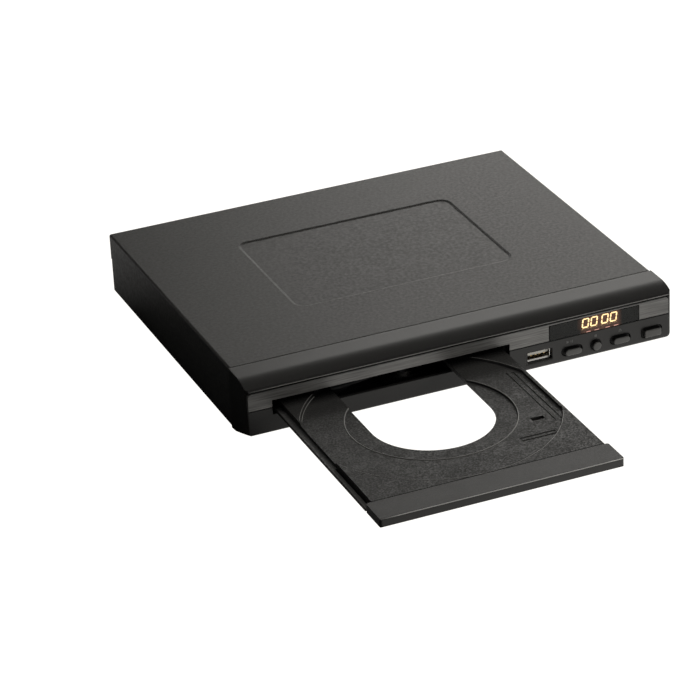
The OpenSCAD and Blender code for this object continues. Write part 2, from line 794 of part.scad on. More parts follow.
// moulded loader frame: base plate, guide walls, posts and deck bearings
module loader_frame() color("#202122") placed() difference() {
  union() {
    // base plate with the deck opening
    span([wall_left, loader_front, loader_base], [wall_right, 40, loader_top]);
    span([wall_left, 40, loader_base], [tray_x - 36, 160, loader_top]);
    span([tray_x + 36, 40, loader_base], [wall_right, 160, loader_top]);
    span([tray_x - 36.1, 156, loader_base], [tray_x + 36.1, 160, 9]);
    // guide walls
    for (x = [wall_left, wall_right - 4]) {
      span([x, loader_front, loader_base], [x + 4, 160, bridge_z]);
      span([x, 5, 10], [x + 4, loader_front + 0.1, bridge_z]);
    }
    // shelves below the tray flanges
    span([wall_left + 3.9, 5, 15.4], [deck_left - 0.6, 160, 17.8]);
    span([deck_right + 0.5, 5, 15.4], [wall_right - 3.9, 160, 17.8]);
    // hold-down fingers above the tray flanges
    for (y = [19, 76, 142]) {
      span([wall_left + 3.9, y, 19.8], [deck_left - 0.6, y + 12, 21.4]);
      span([deck_right + 0.5, y, 19.8], [wall_right - 3.9, y + 12, 21.4]);
    }
    // gear posts
    post(drive_x, gear_y, loader_top - 0.1, 18.2, 2);
    post(drive_x, gear_y, loader_top - 0.1, 8.7, 4);
    post(pulley_x, gear_y, loader_top - 0.1, 16.2, 1.5);
    post(pulley_x, gear_y, loader_top - 0.1, 8.6, 3);
    // motor seat
    post(motor_x, gear_y, loader_top - 0.1, 9.5, 12);
    // hooks that guide the cam slide
    for (x = [tray_x - 26.5, tray_x + 20]) {
      span([x, 35.4, loader_top - 0.1], [x + 6, 38, 9.2]);
      span([x, 35.4, 9.1], [x + 6, 40, 10.4]);
    }
    // bearing blocks of the swinging deck
    for (side = [-1, 1])
      span(
        [tray_x + side * 37.5 - 3, hinge_y - 4.5, 6.5],
        [tray_x + side * 37.5 + 3, hinge_y + 4.5, 15]
      );
  }
  // bearing holes of the deck
  rod_x(hinge_y, hinge_z, tray_x - 42, tray_x + 42, 2.05);
  // way for the cam slide
  span([tray_x - 52, 41, loader_base - 1], [tray_x + 52, 46, loader_top + 0.4]);
  // motor opening
  post(motor_x, gear_y, 5, 12, 10.1);
  // screw holes and lightening holes
  for (spot = loader_spots)
    post(spot[0], spot[1], 5, 9, 1.35);
  for (x = bridge_screws)
    post(x, closed_y, 20, bridge_z + 1, 0.95);
  for (y = [76, 108])
    for (x = [-90, 6])
      translate([x, y, 5])
        linear_extrude(height = 4)
          soft_rect(0, 0, 12, 24, 3);
  // windows in the guide walls
  for (y = [36, 100, 118])
    for (x = [slot_left - 5, slot_right - 2.5])
      span([x, y, 8.6], [x + 7, y + 12, 14.4]);
}

// steel bridge that carries the clamp above the disc
module clamp_bridge() color("#b4b6b8") placed() difference() {
  union() {
    translate([0, 0, bridge_z])
      linear_extrude(height = 1) {
          translate([wall_left, closed_y - 9])
            square([wall_right - wall_left, 18]);
          translate([tray_x, closed_y])
            circle(r = 19);
        }
    // folded edges
    for (y = [-9, 8])
      for (x = [[slot_left + 4, tray_x - 18], [tray_x + 18, slot_right - 4]])
        span([x[0], closed_y + y, bridge_z + 0.9], [x[1], closed_y + y + 1, bridge_z + 3.5]);
  }
  post(tray_x, closed_y, bridge_z - 1, bridge_z + 2, 12);
  for (x = bridge_screws)
    post(x, closed_y, bridge_z - 1, bridge_z + 2, 1.05);
}

// loose clamp that presses the disc on the turntable
module clamper() color("#d9d8d2") placed() difference() {
  union() {
    post(tray_x, closed_y, 24.6, 27.4, 11.5);
    post(tray_x, closed_y, 27.3, 28.8, 15);
    for (turn = [0:5])
      translate([tray_x, closed_y, 28.7])
        rotate([0, 0, turn * 60])
          translate([10.4, -0.6, 0])
            cube([4, 1.2, 0.7]);
  }
  post(tray_x, closed_y, 23, 26.2, 8.2);
}

// steel disc in the clamp, drawn down by the turntable's magnet
module clamper_plate() color("#a9abad") placed() difference() {
  post(tray_x, closed_y, 28.8, 29.6, 9.6);
  post(tray_x, closed_y, 28, 30, 1.5);
}

// small can motor that opens and closes the tray
module loading_motor() color("#aeb0b1") placed() difference() {
  union() {
    post(motor_x, gear_y, 5.3, 12.2, 10);
    post(motor_x, gear_y, 12.2, 13, 3);
  }
  post(motor_x, gear_y, 8, 14, 1.05);
  for (turn = [0, 180])
    post(motor_x + 6.5 * cos(turn), gear_y + 6.5 * sin(turn), 11, 13, 0.8);
}

// motor wheel with its spindle
module motor_pulley() color("#c9c4b4") placed() {
  post(motor_x, gear_y, 9, 13.5, 1);
  post(motor_x, gear_y, 13.4, 14.1, 3.8);
  post(motor_x, gear_y, 14.1, 15.9, motor_radius);
  post(motor_x, gear_y, 15.9, 16.6, 3.8);
}

// rubber belt round both wheels
module drive_belt() color("#17181a") placed() translate([0, 0, belt_z - 0.6]) linear_extrude(height = 1.2) {
  difference() {
    hull() {
      translate([pulley_x, gear_y])
        circle(r = pulley_radius + 1.4);
      translate([motor_x, gear_y])
        circle(r = motor_radius + 1.4);
    }
    hull() {
      translate([pulley_x, gear_y])
        circle(r = pulley_radius + 0.2);
      translate([motor_x, gear_y])
        circle(r = motor_radius + 0.2);
    }
  }
}

// belt wheel with the small gear below it
module pulley_gear() color("#e4e0d2") placed() difference() {
  union() {
    translate([pulley_x, gear_y, 8.9])
      rotate([0, 0, 180 / small_teeth])
        linear_extrude(height = 3.6)
          gear_outline(wheel_module, small_teeth);
    post(pulley_x, gear_y, 12.4, 13.9, 3.4);
    post(pulley_x, gear_y, 13.3, 14, pulley_radius + 1.6);
    post(pulley_x, gear_y, 14, 16, pulley_radius);
    post(pulley_x, gear_y, 16, 16.7, pulley_radius + 1.6);
  }
  post(pulley_x, gear_y, 8, 18, 1.58);
}

// wide gear with the rack gear on top of it
module drive_gear() color("#e9e6da") placed() difference() {
  union() {
    translate([drive_x, gear_y, 9])
      linear_extrude(height = 2.6)
        gear_outline(wheel_module, wide_teeth);
    post(drive_x, gear_y, 11.5, 17.3, 4.6);
    translate([drive_x, gear_y, 17.2])
      rotate([0, 0, 180])
        linear_extrude(height = 1.6)
          gear_outline(rack_module, rack_gear_teeth);
  }
  post(drive_x, gear_y, 8, 20, 2.08);
  for (turn = [0:5])
    post(drive_x + 9 * cos(turn * 60), gear_y + 9 * sin(turn * 60), 8, 12, 2.2);
}

// slide with two sloping slots that lift the deck's front pins
module cam_slider() color("#d8d4c6") placed() {
  difference() {
    union() {
      span([tray_x - 46, 41.6, 4.6], [tray_x + 27, 44.6, 16.4]);
      span([tray_x - 46, 38.3, 7.8], [tray_x + 27, 41.7, 8.7]);
    }
    // sloping slots, low end over the pins while the tray is out
    for (x = pin_spots)
      pushed(40, 46)
        translate([tray_x + x, 0])
          polygon(concat(
            arc(0, pin_low, slot_half, slot_turn - 90, slot_turn + 90, 16),
            arc(-cam_travel, pin_low + pin_drop, slot_half, slot_turn + 90, slot_turn + 270, 16)
          ));
  }
}

// ---------------------------------------------------------------- optical deck

// swinging frame with rear pivots, front pins and damper tabs
module swing_frame() color("#2a2b2c") lowered_placed() {
  span([-bar_outer, 48, 11.5], [bar_outer, 52, 14.5]);
  span([-bar_outer, 149.5, 11.5], [bar_outer, 155, 14.5]);
  for (x = [-bar_outer, bar_inner])
    span([x, 51.9, 11.5], [x + bar_outer - bar_inner, 149.6, 14.5]);
  // pivots
  rod_x(hinge_y, hinge_z, -40, -33, 2);
  rod_x(hinge_y, hinge_z, 33, 40, 2);
  for (side = [-1, 1])
    span([side * 33 - 1, hinge_y - 3.4, 8.6], [side * 33 + 1, hinge_y + 2, 12]);
  // pins for the cam slots
  for (x = pin_spots) {
    rod_y(x, pin_z, 40.6, 50, 1.5);
    span([x - 3, 48, 12], [x + 3, 51, 16]);
  }
  // damper tabs and posts
  for (spot = damper_spots) {
    bar_y = spot[1] < closed_y ? 51 : 150.5;
    span([spot[0] - 4, min(spot[1], bar_y), 10.6], [spot[0] + 4, max(spot[1], bar_y), 11.6]);
    post(spot[0], spot[1], 10.6, 11.6, 4);
    post(spot[0], spot[1], 11.5, 15.2, 1.1);
  }
}

// level deck coordinates: x from the disc's middle, lowered with the deck
module lowered_placed() placed() lowered() children();

// steel deck plate with the pickup window and the rod holders
module deck_plate() color("#a5a7a9") lowered_placed() difference() {
  union() {
    difference() {
      translate([0, 0, plate_z])
        linear_extrude(height = 1)
          soft_rect(-24, 52.6, 24, 148.9, 3);
      span([-17.5, 90, plate_z - 1], [17.5, 147.5, plate_z + 2]);
    }
    // rod holders
    for (x = [-rod_x, rod_x])
      for (y = [66, 138.4])
        span([x - 2.2, y, plate_z + 0.9], [x + 2.2, y + 2.5, rod_z + 2.3]);
    // bracket of the sled motor and rear bearing of the lead screw
    for (y = [67, 139.5]) {
      span([23.5, y, plate_z], [30.9, y + 1, screw_z + 3.4]);
    }
  }
  for (x = [-rod_x, rod_x])
    rod_y(x, rod_z, 64, 142, 1.5);
  rod_y(screw_x, screw_z, 66, 70, 1.3);
  rod_y(screw_x, screw_z, 138, 142, 1.06);
  for (spot = damper_spots)
    post(spot[0], spot[1], plate_z - 1, plate_z + 2, 2.2);
  post(0, closed_y, plate_z - 1, plate_z + 2, 4.1);
}

// rubber dampers between the swinging frame and the deck plate
module dampers() color("#1a1a1b") lowered_placed() for (spot = damper_spots) difference() {
  union() {
    post(spot[0], spot[1], 11.6, plate_z, 3.6);
    post(spot[0], spot[1], plate_z - 0.1, plate_z + 1.1, 2.2);
    post(spot[0], spot[1], plate_z + 1, 14.6, 3.6);
  }
  post(spot[0], spot[1], 11, 16, 1.1);
}

// motor of the turntable
module spindle_motor() color("#b9bbbc") lowered_placed() difference() {
  union() {
    post(0, closed_y, plate_z + 1, plate_z + 1.6, 13);
    post(0, closed_y, plate_z + 1.5, 18.6, 11);
    post(0, closed_y, 9.9, plate_z + 1.1, 4);
  }
  post(0, closed_y, 11, 20, 1.08);
}

// turntable with centring cone, rubber seat and spindle
module turntable() color("#e6e3d8") lowered_placed() {
  post(0, closed_y, 12, 19.4, 1);
  post(0, closed_y, 19.2, 21.9, 14.5);
  difference() {
    post(0, closed_y, 21.8, 22.2, 14.5);
    post(0, closed_y, 21, 23, 10.5);
  }
  post(0, closed_y, 21.8, 23.2, 7.4, 7.2);
  post(0, closed_y, 23.1, 24.3, 7.2, 5.4);
}

// two polished guide rods
module guide_rods() color("#d6d7d8") lowered_placed() for (x = [-rod_x, rod_x])
  rod_y(x, rod_z, 65, 141.1, 1.5);

// stepping motor of the lead screw
module sled_motor() color("#bfc0bf") lowered_placed() difference() {
  rod_y(screw_x, screw_z, 55.5, 67, 3.4);
  rod_y(screw_x, screw_z, 58, 68, 1.08);
}

// lead screw, its thread drawn as rings
module lead_screw() color("#cfd0d0") lowered_placed()
  translate([screw_x, 0, screw_z])
    rotate([-90, 0, 0])
      rotate_extrude()
        polygon(concat(
          [[0, 58.5], [1, 58.5]],
          [
            for (i = [0:22])
              for (p = [[1, 69.5], [1.28, 70.3], [1.28, 71], [1, 71.8]])
                p + [0, i * 3]
          ],
          [[1, 142], [0, 142]]
        ));

// pickup sled with rod bushes and the screw follower
module pickup_body() color("#7d7f80") lowered_placed() difference() {
  union() {
    translate([0, 0, 10.6])
      linear_extrude(height = 8.2)
        soft_rect(-15.5, lens_y - 12, 15.5, lens_y + 7, 3);
    span([-23.4, lens_y - 10, 13.6], [23.4, lens_y + 1, 18]);
    // lens guard
    post(0, lens_y, 18.7, 19.4, 8);
    // follower arm over the lead screw
    span([23.3, lens_y - 6, 16.3], [29.6, lens_y - 2, 17.8]);
    span([29, lens_y - 6, 13.2], [30.2, lens_y - 2, 17.8]);
  }
  // clearance arc for the turntable motor
  post(0, closed_y, 9, 21, 13.6);
  // rod holes
  for (x = [-rod_x, rod_x])
    rod_y(x, rod_z, lens_y - 14, lens_y + 9, 1.56);
  // lens well
  post(0, lens_y, 14, 21, 3.8);
  // laser bay
  span([-12, lens_y + 3.5, 9], [12, lens_y + 5.5, 16]);
}

// focusing lens in its holder
module objective_lens() color("#8fa3b5") lowered_placed() {
  post(0, lens_y, 14, 19.6, 3.8);
  post(0, lens_y, 19.5, 20.1, 2.9);
  translate([0, lens_y, 18.6])
    intersection() {
      sphere(r = 2.4);
      cylinder(h = 5, r = 2.1);
    }
}

// ---------------------------------------------------------------- electronics

// main circuit board, an L round the mains inlet
module main_board() color("#1f5a34") placed() difference() {
  translate([0, 0, board_z])
    linear_extrude(height = board_top - board_z)
      polygon([
        [-70, 163.5], [34, 163.5], [34, 108], [100, 108],
        [100, 164], [74, 164], [74, 190.4], [-70, 190.4]
      ]);
  for (spot = main_spots)
    post(spot[0], spot[1], board_z - 1, board_top + 1, 1.3);
}

// decoder, memory and driver chips
module board_chips() color("#1d1e20") placed() {
  span([52, 122, board_top], [72, 142, board_top + 1.6]);
  span([80, 120, board_top], [91, 138, board_top + 1.2]);
  span([80, 144, board_top], [86, 152, board_top + 1.2]);
  span([38, 122, board_top], [45, 134, board_top + 1.8]);
  span([-10, 168, board_top], [4, 175, board_top + 1.8]);
  // rows of leads
  for (i = [0:15])
    for (edge = [[52.6 + i * 1.24, 120.8], [52.6 + i * 1.24, 142]])
      translate([edge[0], edge[1], board_top])
        cube([0.5, 1.2, 0.3]);
}

// aluminium coolers on the decoder and the power transistor
module heat_sinks() color("#b0b3b5") placed() {
  span([54, 124, board_top + 1.6], [70, 140, board_top + 3]);
  for (i = [0:5])
    span([54 + i * 3, 124, board_top + 2.9], [55 + i * 3, 140, board_top + 9]);
  span([42, 66, board_top], [44, 90, board_top + 19]);
  for (y = [66, 74, 82, 89])
    span([43.9, y, board_top + 1], [49, y + 1, board_top + 19]);
}

// black housing of the three round sockets
module socket_block() color("#1b1b1c") placed() difference() {
  span([rca_spots[0] - 7.2, 179, board_top], [rca_spots[2] + 7.2, rear_wall, board_top + 15.4]);
  for (x = rca_spots) {
    rod_y(x, rca_z, 186, rear, 5.6);
    rod_y(x, rca_z, 181, rear, barrel_seat);
  }
}

// metal barrels of the round sockets
module socket_barrels() color("#d5d4cf") placed() for (x = rca_spots) difference() {
  union() {
    rod_y(x, rca_z, 181, rear + collar_reach + 0.2, barrel_seat);
    rod_y(x, rca_z, rear + collar_reach + 0.1, rear + socket_reach, barrel_radius);
  }
  rod_y(x, rca_z, 183, rear + socket_reach + 1, barrel_bore);
}

// coloured collars that tell the three sockets apart
module collar(x) difference() {
  rod_y(x, rca_z, 186, rear + collar_reach, 5.6);
  rod_y(x, rca_z, 185, rear + 3, barrel_seat);
}

module video_collar() color("#d9b32a") placed() collar(rca_spots[0]);

module left_collar() color("#ecebe6") placed() collar(rca_spots[1]);

module right_collar() color("#b5281f") placed() collar(rca_spots[2]);

// flat digital video socket
module digital_socket() color("#c3c5c6") placed() {
  difference() {
    span([10, 179.5, board_top], [25, rear - sheet - 0.2, board_top + 5.9]);
    span([10.5, 182, board_top + 0.5], [24.5, rear, board_top + 5.4]);
  }
  span([12.5, 181.9, board_top + 2.4], [22.5, rear - 3, board_top + 3.5]);
}

// mains inlet for a two-pin lead
module mains_inlet() color("#18191a") placed() difference() {
  union() {
    pushed(172, rear + 0.2) soft_rect(inlet_x - 11.5, inlet_z - 6, inlet_x + 11.5, inlet_z + 6, 1.5);
    pushed(rear - sheet, rear + 1.4) soft_rect(inlet_x - 14, inlet_z - 8, inlet_x + 14, inlet_z + 8, 2);
  }
  for (side = [-4.4, 4.4])
    rod_y(inlet_x + side, inlet_z, 178, rear + 3, 4.3);
  for (side = [-4.4, 4.4])
    rod_y(inlet_x + side, inlet_z, 171, 179, 1.25);
  span([inlet_x - 4.4, 178, inlet_z - 3.4], [inlet_x + 4.4, rear + 3, inlet_z + 3.4]);
}

// brass pins of the mains inlet
module inlet_pins() color("#c8a85a") placed() for (side = [-4.4, 4.4]) {
  rod_y(inlet_x + side, inlet_z, 170, 190, 1.2);
}

// two wires from the inlet to the power board
module mains_wires() color("#2c3d6e") placed() for (side = [-4.4, 4.4]) {
  rod_y(inlet_x + side, inlet_z, 100.5, 170, 1.1);
}

// power board
module power_board() color("#8f6b2e") placed() difference() {
  span([36, 30, board_z], [power_right, 101, board_top]);
  for (spot = power_spots)
    post(spot[0], spot[1], board_z - 1, board_top + 1, 1.3);
}

// ferrite core of the transformer
module transformer_core() color("#3a3a3d") placed() difference() {
  span([60, 58, board_top + 1], [84, 78, board_top + 19]);
  for (x = [65, 75.5])
    span([x, 57, board_top + 4], [x + 3.5, 79, board_top + 16]);
}

// winding on the middle limb
module transformer_winding() color("#c9a93f") placed() difference() {
  span([65, 55, board_top], [79, 81, board_top + 16]);
  span([68.5, 58, board_top + 1], [75.5, 78, board_top + 17]);
  span([64, 58, board_top - 1], [80, 78, board_top + 4]);
}

// upright capacitors of both boards
module capacitors() color("#23284a") placed() for (c = capacitor_list) {
  post(c[0], c[1], board_top, board_top + c[3] - 0.4, c[2]);
  post(c[0], c[1], board_top + c[3] - 0.4, board_top + c[3], c[2], c[2] - 0.4);
}

// glass fuse in its two clips
module fuse() color("#cfd3d2") placed() {
  rod_x(90, board_top + 4.5, 60, 80, 2.2);
  for (x = [59, 76]) {
    rod_x(90, board_top + 4.5, x, x + 5, 2.6);
    span([x + 0.5, 88, board_top], [x + 4.5, 92, board_top + 3]);
  }
}

// plug-in connectors on the boards
module board_connectors() color("#eceadf") placed() {
  span([82, 94.5, board_top], [98, 100.5, board_top + 10.6]);
  span([82, 37, board_top], [98, 42, board_top + 7]);
  span([36.5, 148, board_top], [42.5, 162, board_top + 4]);
  span([62, 110.6, board_top], [84, 116.6, board_top + 4]);
  span([-56, 165, board_top], [-42, 170.4, board_top + 3.4]);
  span([-56, 156.4, 9], [-42, 159.8, 12]);
  span([62, front_board_back, 19], [84, front_board_back + 4, 24]);
}

// flat cables: front board to main board, loader frame to main board
module flat_cables() color("#e9e7e0") placed() {
  drawn(65, 81) polygon([
    [front_board_back + 4, 21], [17, 21], [19, 23], [19, 28.5], [20.4, 30], [112, 30], [113.6, 28.6],
    [113.6, board_top + 4], [114, board_top + 4], [114, 28.8], [112.2, 30.4], [20.2, 30.4], [18.6, 28.7],
    [18.6, 23.2], [16.8, 21.4], [front_board_back + 4, 21.4]
  ]);
  drawn(-54, -44) polygon([
    [158, 12], [158.4, 12], [158.4, 15], [160, 16.6], [166, 16.6], [167.6, 15], [167.6, board_top + 3.4],
    [168, board_top + 3.4], [168, 15.2], [166.2, 17], [159.8, 17], [158, 15.2]
  ]);
}

// ---------------------------------------------------------------- assembly

top_cover();
bottom_chassis();
feet();
case_screws();
inner_screws();
front_panel();
fascia_strip();
display_window();
play_button();
stop_button();
eject_button();
power_button();
front_board();
tact_switches();
usb_shell();
usb_tongue();
display_module();
display_digits();
ir_receiver();
disc_tray();
tray_bezel();
loader_frame();
clamp_bridge();
clamper();
clamper_plate();
loading_motor();
motor_pulley();
drive_belt();
pulley_gear();
drive_gear();
cam_slider();
swing_frame();
deck_plate();
dampers();
spindle_motor();
turntable();
guide_rods();
sled_motor();
lead_screw();
pickup_body();
objective_lens();
main_board();
board_chips();
heat_sinks();
socket_block();
socket_barrels();
video_collar();
left_collar();
right_collar();
digital_socket();
mains_inlet();
inlet_pins();
mains_wires();
power_board();
transformer_core();
transformer_winding();
capacitors();
fuse();
board_connectors();
flat_cables();
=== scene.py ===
# %% [markdown]
# # A compact disc player with its tray out
#
# The imported model gives the solids, all in metres and all in one frame. This
# lesson gives them their finishes, adds the small pieces that a drawing of
# solids leaves out, and sets up the light and the camera. The frame is loaded
# first.

# %% Load the frame
import math

import bmesh
import bpy
from mathutils import Matrix, Vector


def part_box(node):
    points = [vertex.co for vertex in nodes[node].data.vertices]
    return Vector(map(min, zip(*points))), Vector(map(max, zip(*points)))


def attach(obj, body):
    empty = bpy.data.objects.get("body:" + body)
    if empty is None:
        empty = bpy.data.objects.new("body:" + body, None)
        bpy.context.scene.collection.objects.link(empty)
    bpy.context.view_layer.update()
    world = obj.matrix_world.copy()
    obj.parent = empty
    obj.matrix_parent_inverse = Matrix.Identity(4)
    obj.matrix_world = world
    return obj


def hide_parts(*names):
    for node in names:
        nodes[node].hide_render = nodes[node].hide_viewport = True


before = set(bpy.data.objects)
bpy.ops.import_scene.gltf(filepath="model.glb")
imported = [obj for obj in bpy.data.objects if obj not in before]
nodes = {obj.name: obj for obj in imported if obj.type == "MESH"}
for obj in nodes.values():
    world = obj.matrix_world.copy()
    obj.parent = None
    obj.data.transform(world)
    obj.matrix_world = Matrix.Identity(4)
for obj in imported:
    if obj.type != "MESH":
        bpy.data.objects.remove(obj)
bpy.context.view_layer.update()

# %% [markdown]
# The drawing counts from the player's flat front face, while the frame counts
# from the middle of the whole footprint with the tray out. One helper turns
# the drawing's millimetres into a point of the frame. The front face is read
# from the trim strip, whose front lies exactly on it.

# %% A point of the drawing, in the frame's metres
front_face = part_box("fascia_strip")[0].y


def at(x, y, z):
    return Vector((x / 1000, front_face + y / 1000, z / 1000))


print("front face at y =", round(front_face, 5))

# %% [markdown]
# ## Camera
#
# A long lens far away keeps the player's edges nearly parallel, as the
# photograph does. The place and the turn come from fitting the edges whose
# sizes are known: the two disc recesses, the panel and the cover. The fit gives
# the focal length in pixels of a picture 680 pixels wide. On a 36 mm sensor that
# is a lens of about 177 mm, and it stands about 1.6 m from the player.

# %% Camera
sensor_width, picture_width, focal_pixels = 36, 680, 3343.1
camera_place = at(-590.259, -1318.950, 763.565)
camera_data = bpy.data.cameras.new("camera")
camera_data.sensor_fit = "HORIZONTAL"
camera_data.sensor_width = sensor_width
camera_data.lens = sensor_width * focal_pixels / picture_width
camera_data.clip_end = 30
camera = bpy.data.objects.new("camera", camera_data)
bpy.context.scene.collection.objects.link(camera)
forward = Vector((0.331029, 0.829397, -0.450023)).normalized()
right = Vector((0.919198, -0.391228, -0.044890)).normalized()
above = right.cross(forward)
camera.matrix_world = Matrix.Translation(camera_place) @ Matrix((
    (right.x, above.x, -forward.x),
    (right.y, above.y, -forward.y),
    (right.z, above.z, -forward.z),
)).to_4x4()
bpy.context.scene.camera = camera
print("camera at", tuple(round(v, 3) for v in camera.matrix_world.translation))

# %% [markdown]
# ## Writing finishes as sums
#
# A finish is a small sum of noises, masks and colours. Blender draws such a
# sum as boxes and wires, which soon get hard to follow. Here a `Wire` stands
# for one output of a box, and `+ - * >` between wires or numbers add the boxes,
# so that `1 - mask` works too. All other boxes come from `Finish.box`, which
# takes the kind of box, its settings and what goes into its sockets.

# %% Wires and finishes
class Wire:
    def __init__(self, finish, socket):
        self.finish = finish
        self.socket = socket

    def join(self, word, first, second):
        return self.finish.box("ShaderNodeMath", {"operation": word}, {0: first, 1: second})

    def __add__(self, other):
        return self.join("ADD", self, other)

    def __radd__(self, other):
        return self.join("ADD", other, self)

    def __sub__(self, other):
        return self.join("SUBTRACT", self, other)

    def __rsub__(self, other):
        return self.join("SUBTRACT", other, self)

    def __mul__(self, other):
        return self.join("MULTIPLY", self, other)

    def __rmul__(self, other):
        return self.join("MULTIPLY", other, self)

    def __gt__(self, other):
        return self.join("GREATER_THAN", self, other)

    def larger(self, other):
        return self.join("MAXIMUM", self, other)


class Finish:
    def __init__(self, name, kind="materials"):
        self.material = getattr(bpy.data, kind).new(name)
        self.material.use_nodes = True
        self.tree = self.material.node_tree
        self.tree.nodes.clear()
        self.place = self.box("ShaderNodeTexCoord", {}, {}, "Object")

    def box(self, kind, settings=None, sockets=None, out=0):
        made = self.tree.nodes.new(kind)
        for name, value in (settings or {}).items():
            setattr(made, name, value)
        for name, value in (sockets or {}).items():
            if isinstance(value, Wire):
                self.tree.links.new(value.socket, made.inputs[name])
            else:
                made.inputs[name].default_value = value
        return Wire(self, made.outputs[out]) if len(made.outputs) else made


print("wires ready")

# %% [markdown]
# Every moulded or painted surface has grain: a noise whose size is given in
# metres. `grain` makes it, `stretched` makes it along one direction, as a
# brushed metal has it, and `blend` mixes two colours by a mask. `axis` reads one
# coordinate of the surface, and `between` turns a range of it into a mask.

# %% Grain, brushing and mixing
def grain(finish, size, detail=2.0, rough=0.5, place=None):
    return finish.box(
        "ShaderNodeTexNoise", {},
        {"Vector": place or finish.place, "Scale": 1 / size, "Detail": detail, "Roughness": rough},
    )


def stretched(finish, across, x=1.0, y=1.0, z=1.0, detail=2.0):
    pulled = finish.box("ShaderNodeMapping", {}, {"Vector": finish.place, "Scale": (x, y, z)})
    return grain(finish, across, detail, 0.6, pulled)


def blend(finish, mask, first, second):
    return finish.box(
        "ShaderNodeMix", {"data_type": "RGBA"},
        {0: mask, 6: first, 7: second}, 2,
    )


def axis(finish, letter):
    return finish.box("ShaderNodeSeparateXYZ", {}, {0: finish.place}, letter)


def between(finish, value, low, high, to_low=0.0, to_high=1.0):
    return finish.box(
        "ShaderNodeMapRange", {},
        {"Value": value, "From Min": low, "From Max": high, "To Min": to_low, "To Max": to_high},
    )


def colour(r, g, b):
    return (r, g, b, 1.0)


def tint(base, factor):
    return (base[0] * factor, base[1] * factor, base[2] * factor, 1.0)


print("grain ready")

# %% [markdown]
# The last step of each finish is the same: a Principled shader takes the
# colour, the roughness and the bump. A mould leaves no knife edge, so a Bevel
# box bends the light over each edge by the radius that the real edge has. It
# costs no geometry, and the solids stay as they were drawn.

# %% Close a finish
def close(finish, base, rough, height=None, depth=0.0, edge=0.0002, **fixed):
    sockets = {"Base Color": base, "Roughness": rough}
    normal = None
    if edge:
        normal = finish.box("ShaderNodeBevel", {"samples": 4}, {"Radius": edge})
    if height is not None:
        bump = {"Height": height, "Strength": 1.0, "Distance": depth}
        if normal is not None:
            bump["Normal"] = normal
        normal = finish.box("ShaderNodeBump", {}, bump)
    if normal is not None:
        sockets["Normal"] = normal
    for name, value in fixed.items():
        sockets[name.replace("_", " ")] = value
    shader = finish.box("ShaderNodeBsdfPrincipled", {}, sockets)
    finish.box("ShaderNodeOutputMaterial", {}, {"Surface": shader})
    return finish.material


print("finishes can be closed")

# %% [markdown]
# ## Paint of the steel cover
#
# The cover is sheet steel under a powder paint. Seen close, powder paint is a
# fine crinkle: small hills that melt into each other, with a slow drift of
# tone under them. Two noises of different size make the hills, and a third,
# much wider one makes the drift.

# %% Cover paint
def powder_paint(name, base):
    f = Finish(name)
    fine = grain(f, 0.00045, 3.0)
    hills = grain(f, 0.0016, 2.0)
    drift = grain(f, 0.06, 2.0)
    tone = fine * 0.5 + hills * 0.2 + drift * 0.3
    skin = blend(f, between(f, tone, 0.34, 0.66), tint(base, 0.80), tint(base, 1.20))
    rough = between(f, hills * 0.6 + fine * 0.4, 0.35, 0.65, 0.40, 0.58)
    height = fine * 0.6 + hills * 0.4
    return close(
        f, skin, rough, height, depth=0.00005, edge=0.0005, Specular_IOR_Level=0.5,
    )


cover_paint = powder_paint("cover_powder_paint", (0.026, 0.0252, 0.024))
print(cover_paint.name)

# %% [markdown]
# ## Moulded plastic
#
# The front panel, the buttons and the tray come from steel moulds. A polished
# mould gives a smooth satin skin with long soft ripples, and a spark-eroded
# one gives a matt skin of tiny pits. One maker takes both numbers: how coarse
# the pits are and how deep. `mottle` says how far the gloss varies with them,
# and a last, optional function can paint light or shade into the skin, and
# change its roughness, in some places.

# %% Moulded plastic
def moulded(
    name, base, rough, pit=0.0004, depth=0.00002, spread=0.10, edge=0.0003, mottle=0.1,
    painted_shading=None, **fixed
):
    f = Finish(name)
    pits = grain(f, pit, 3.0, 0.6)
    ripple = grain(f, 0.012, 1.0)
    flow = grain(f, 0.045, 2.0)
    tone = pits * 0.85 + flow * 0.15
    skin = blend(
        f, between(f, tone, 0.35, 0.65), tint(base, 1 - spread), tint(base, 1 + spread)
    )
    if painted_shading:
        skin, rough = painted_shading(f, skin, rough, flow)
    gloss = between(
        f, pits * 0.9 + ripple * 0.1, 0.35, 0.65, rough * (1 - mottle), rough * (1 + mottle)
    )
    return close(f, skin, gloss, pits, depth, edge, **fixed)


panel_plastic = moulded(
    "panel_satin", (0.017, 0.0166, 0.0158), rough=0.36, pit=0.0005, depth=0.00001, edge=0.0005,
    Specular_IOR_Level=0.32,
)
button_plastic = moulded(
    "button_satin", (0.070, 0.069, 0.066), rough=0.40, depth=0.000008, edge=0.0,
    Specular_IOR_Level=0.5,
)
# Near-black for the sides of the button caps: painted shade where no light gets in.
cap_side_shade = moulded(
    "button_side_shade", (0.004, 0.004, 0.004), rough=0.6, depth=0.000008, edge=0.0,
)
bezel_plastic = moulded(
    "tray_bar_satin", (0.022, 0.0216, 0.0207), rough=0.48, pit=0.0006, depth=0.00003,
    spread=0.14, mottle=0.16, Specular_IOR_Level=0.45,
)
inner_black = moulded(
    "inner_black", (0.006, 0.006, 0.006), rough=0.7, pit=0.0006, depth=0.00003,
)
black_plastic = moulded(
    "black_moulded", (0.016, 0.016, 0.017), rough=0.5, pit=0.0006, depth=0.00003,
)
white_plastic = moulded(
    "natural_acetal", (0.70, 0.68, 0.62), rough=0.42, pit=0.0008, depth=0.00001, spread=0.05,
)
# Matt near-black for the fillers of painted shade in narrow gaps and seams.
painted_shade_black = moulded(
    "painted_shade_black", (0.002, 0.002, 0.002), rough=0.9, pit=0.0005, depth=0.00001, spread=0.2,
    edge=0.0,
)
print("moulded finishes ready")
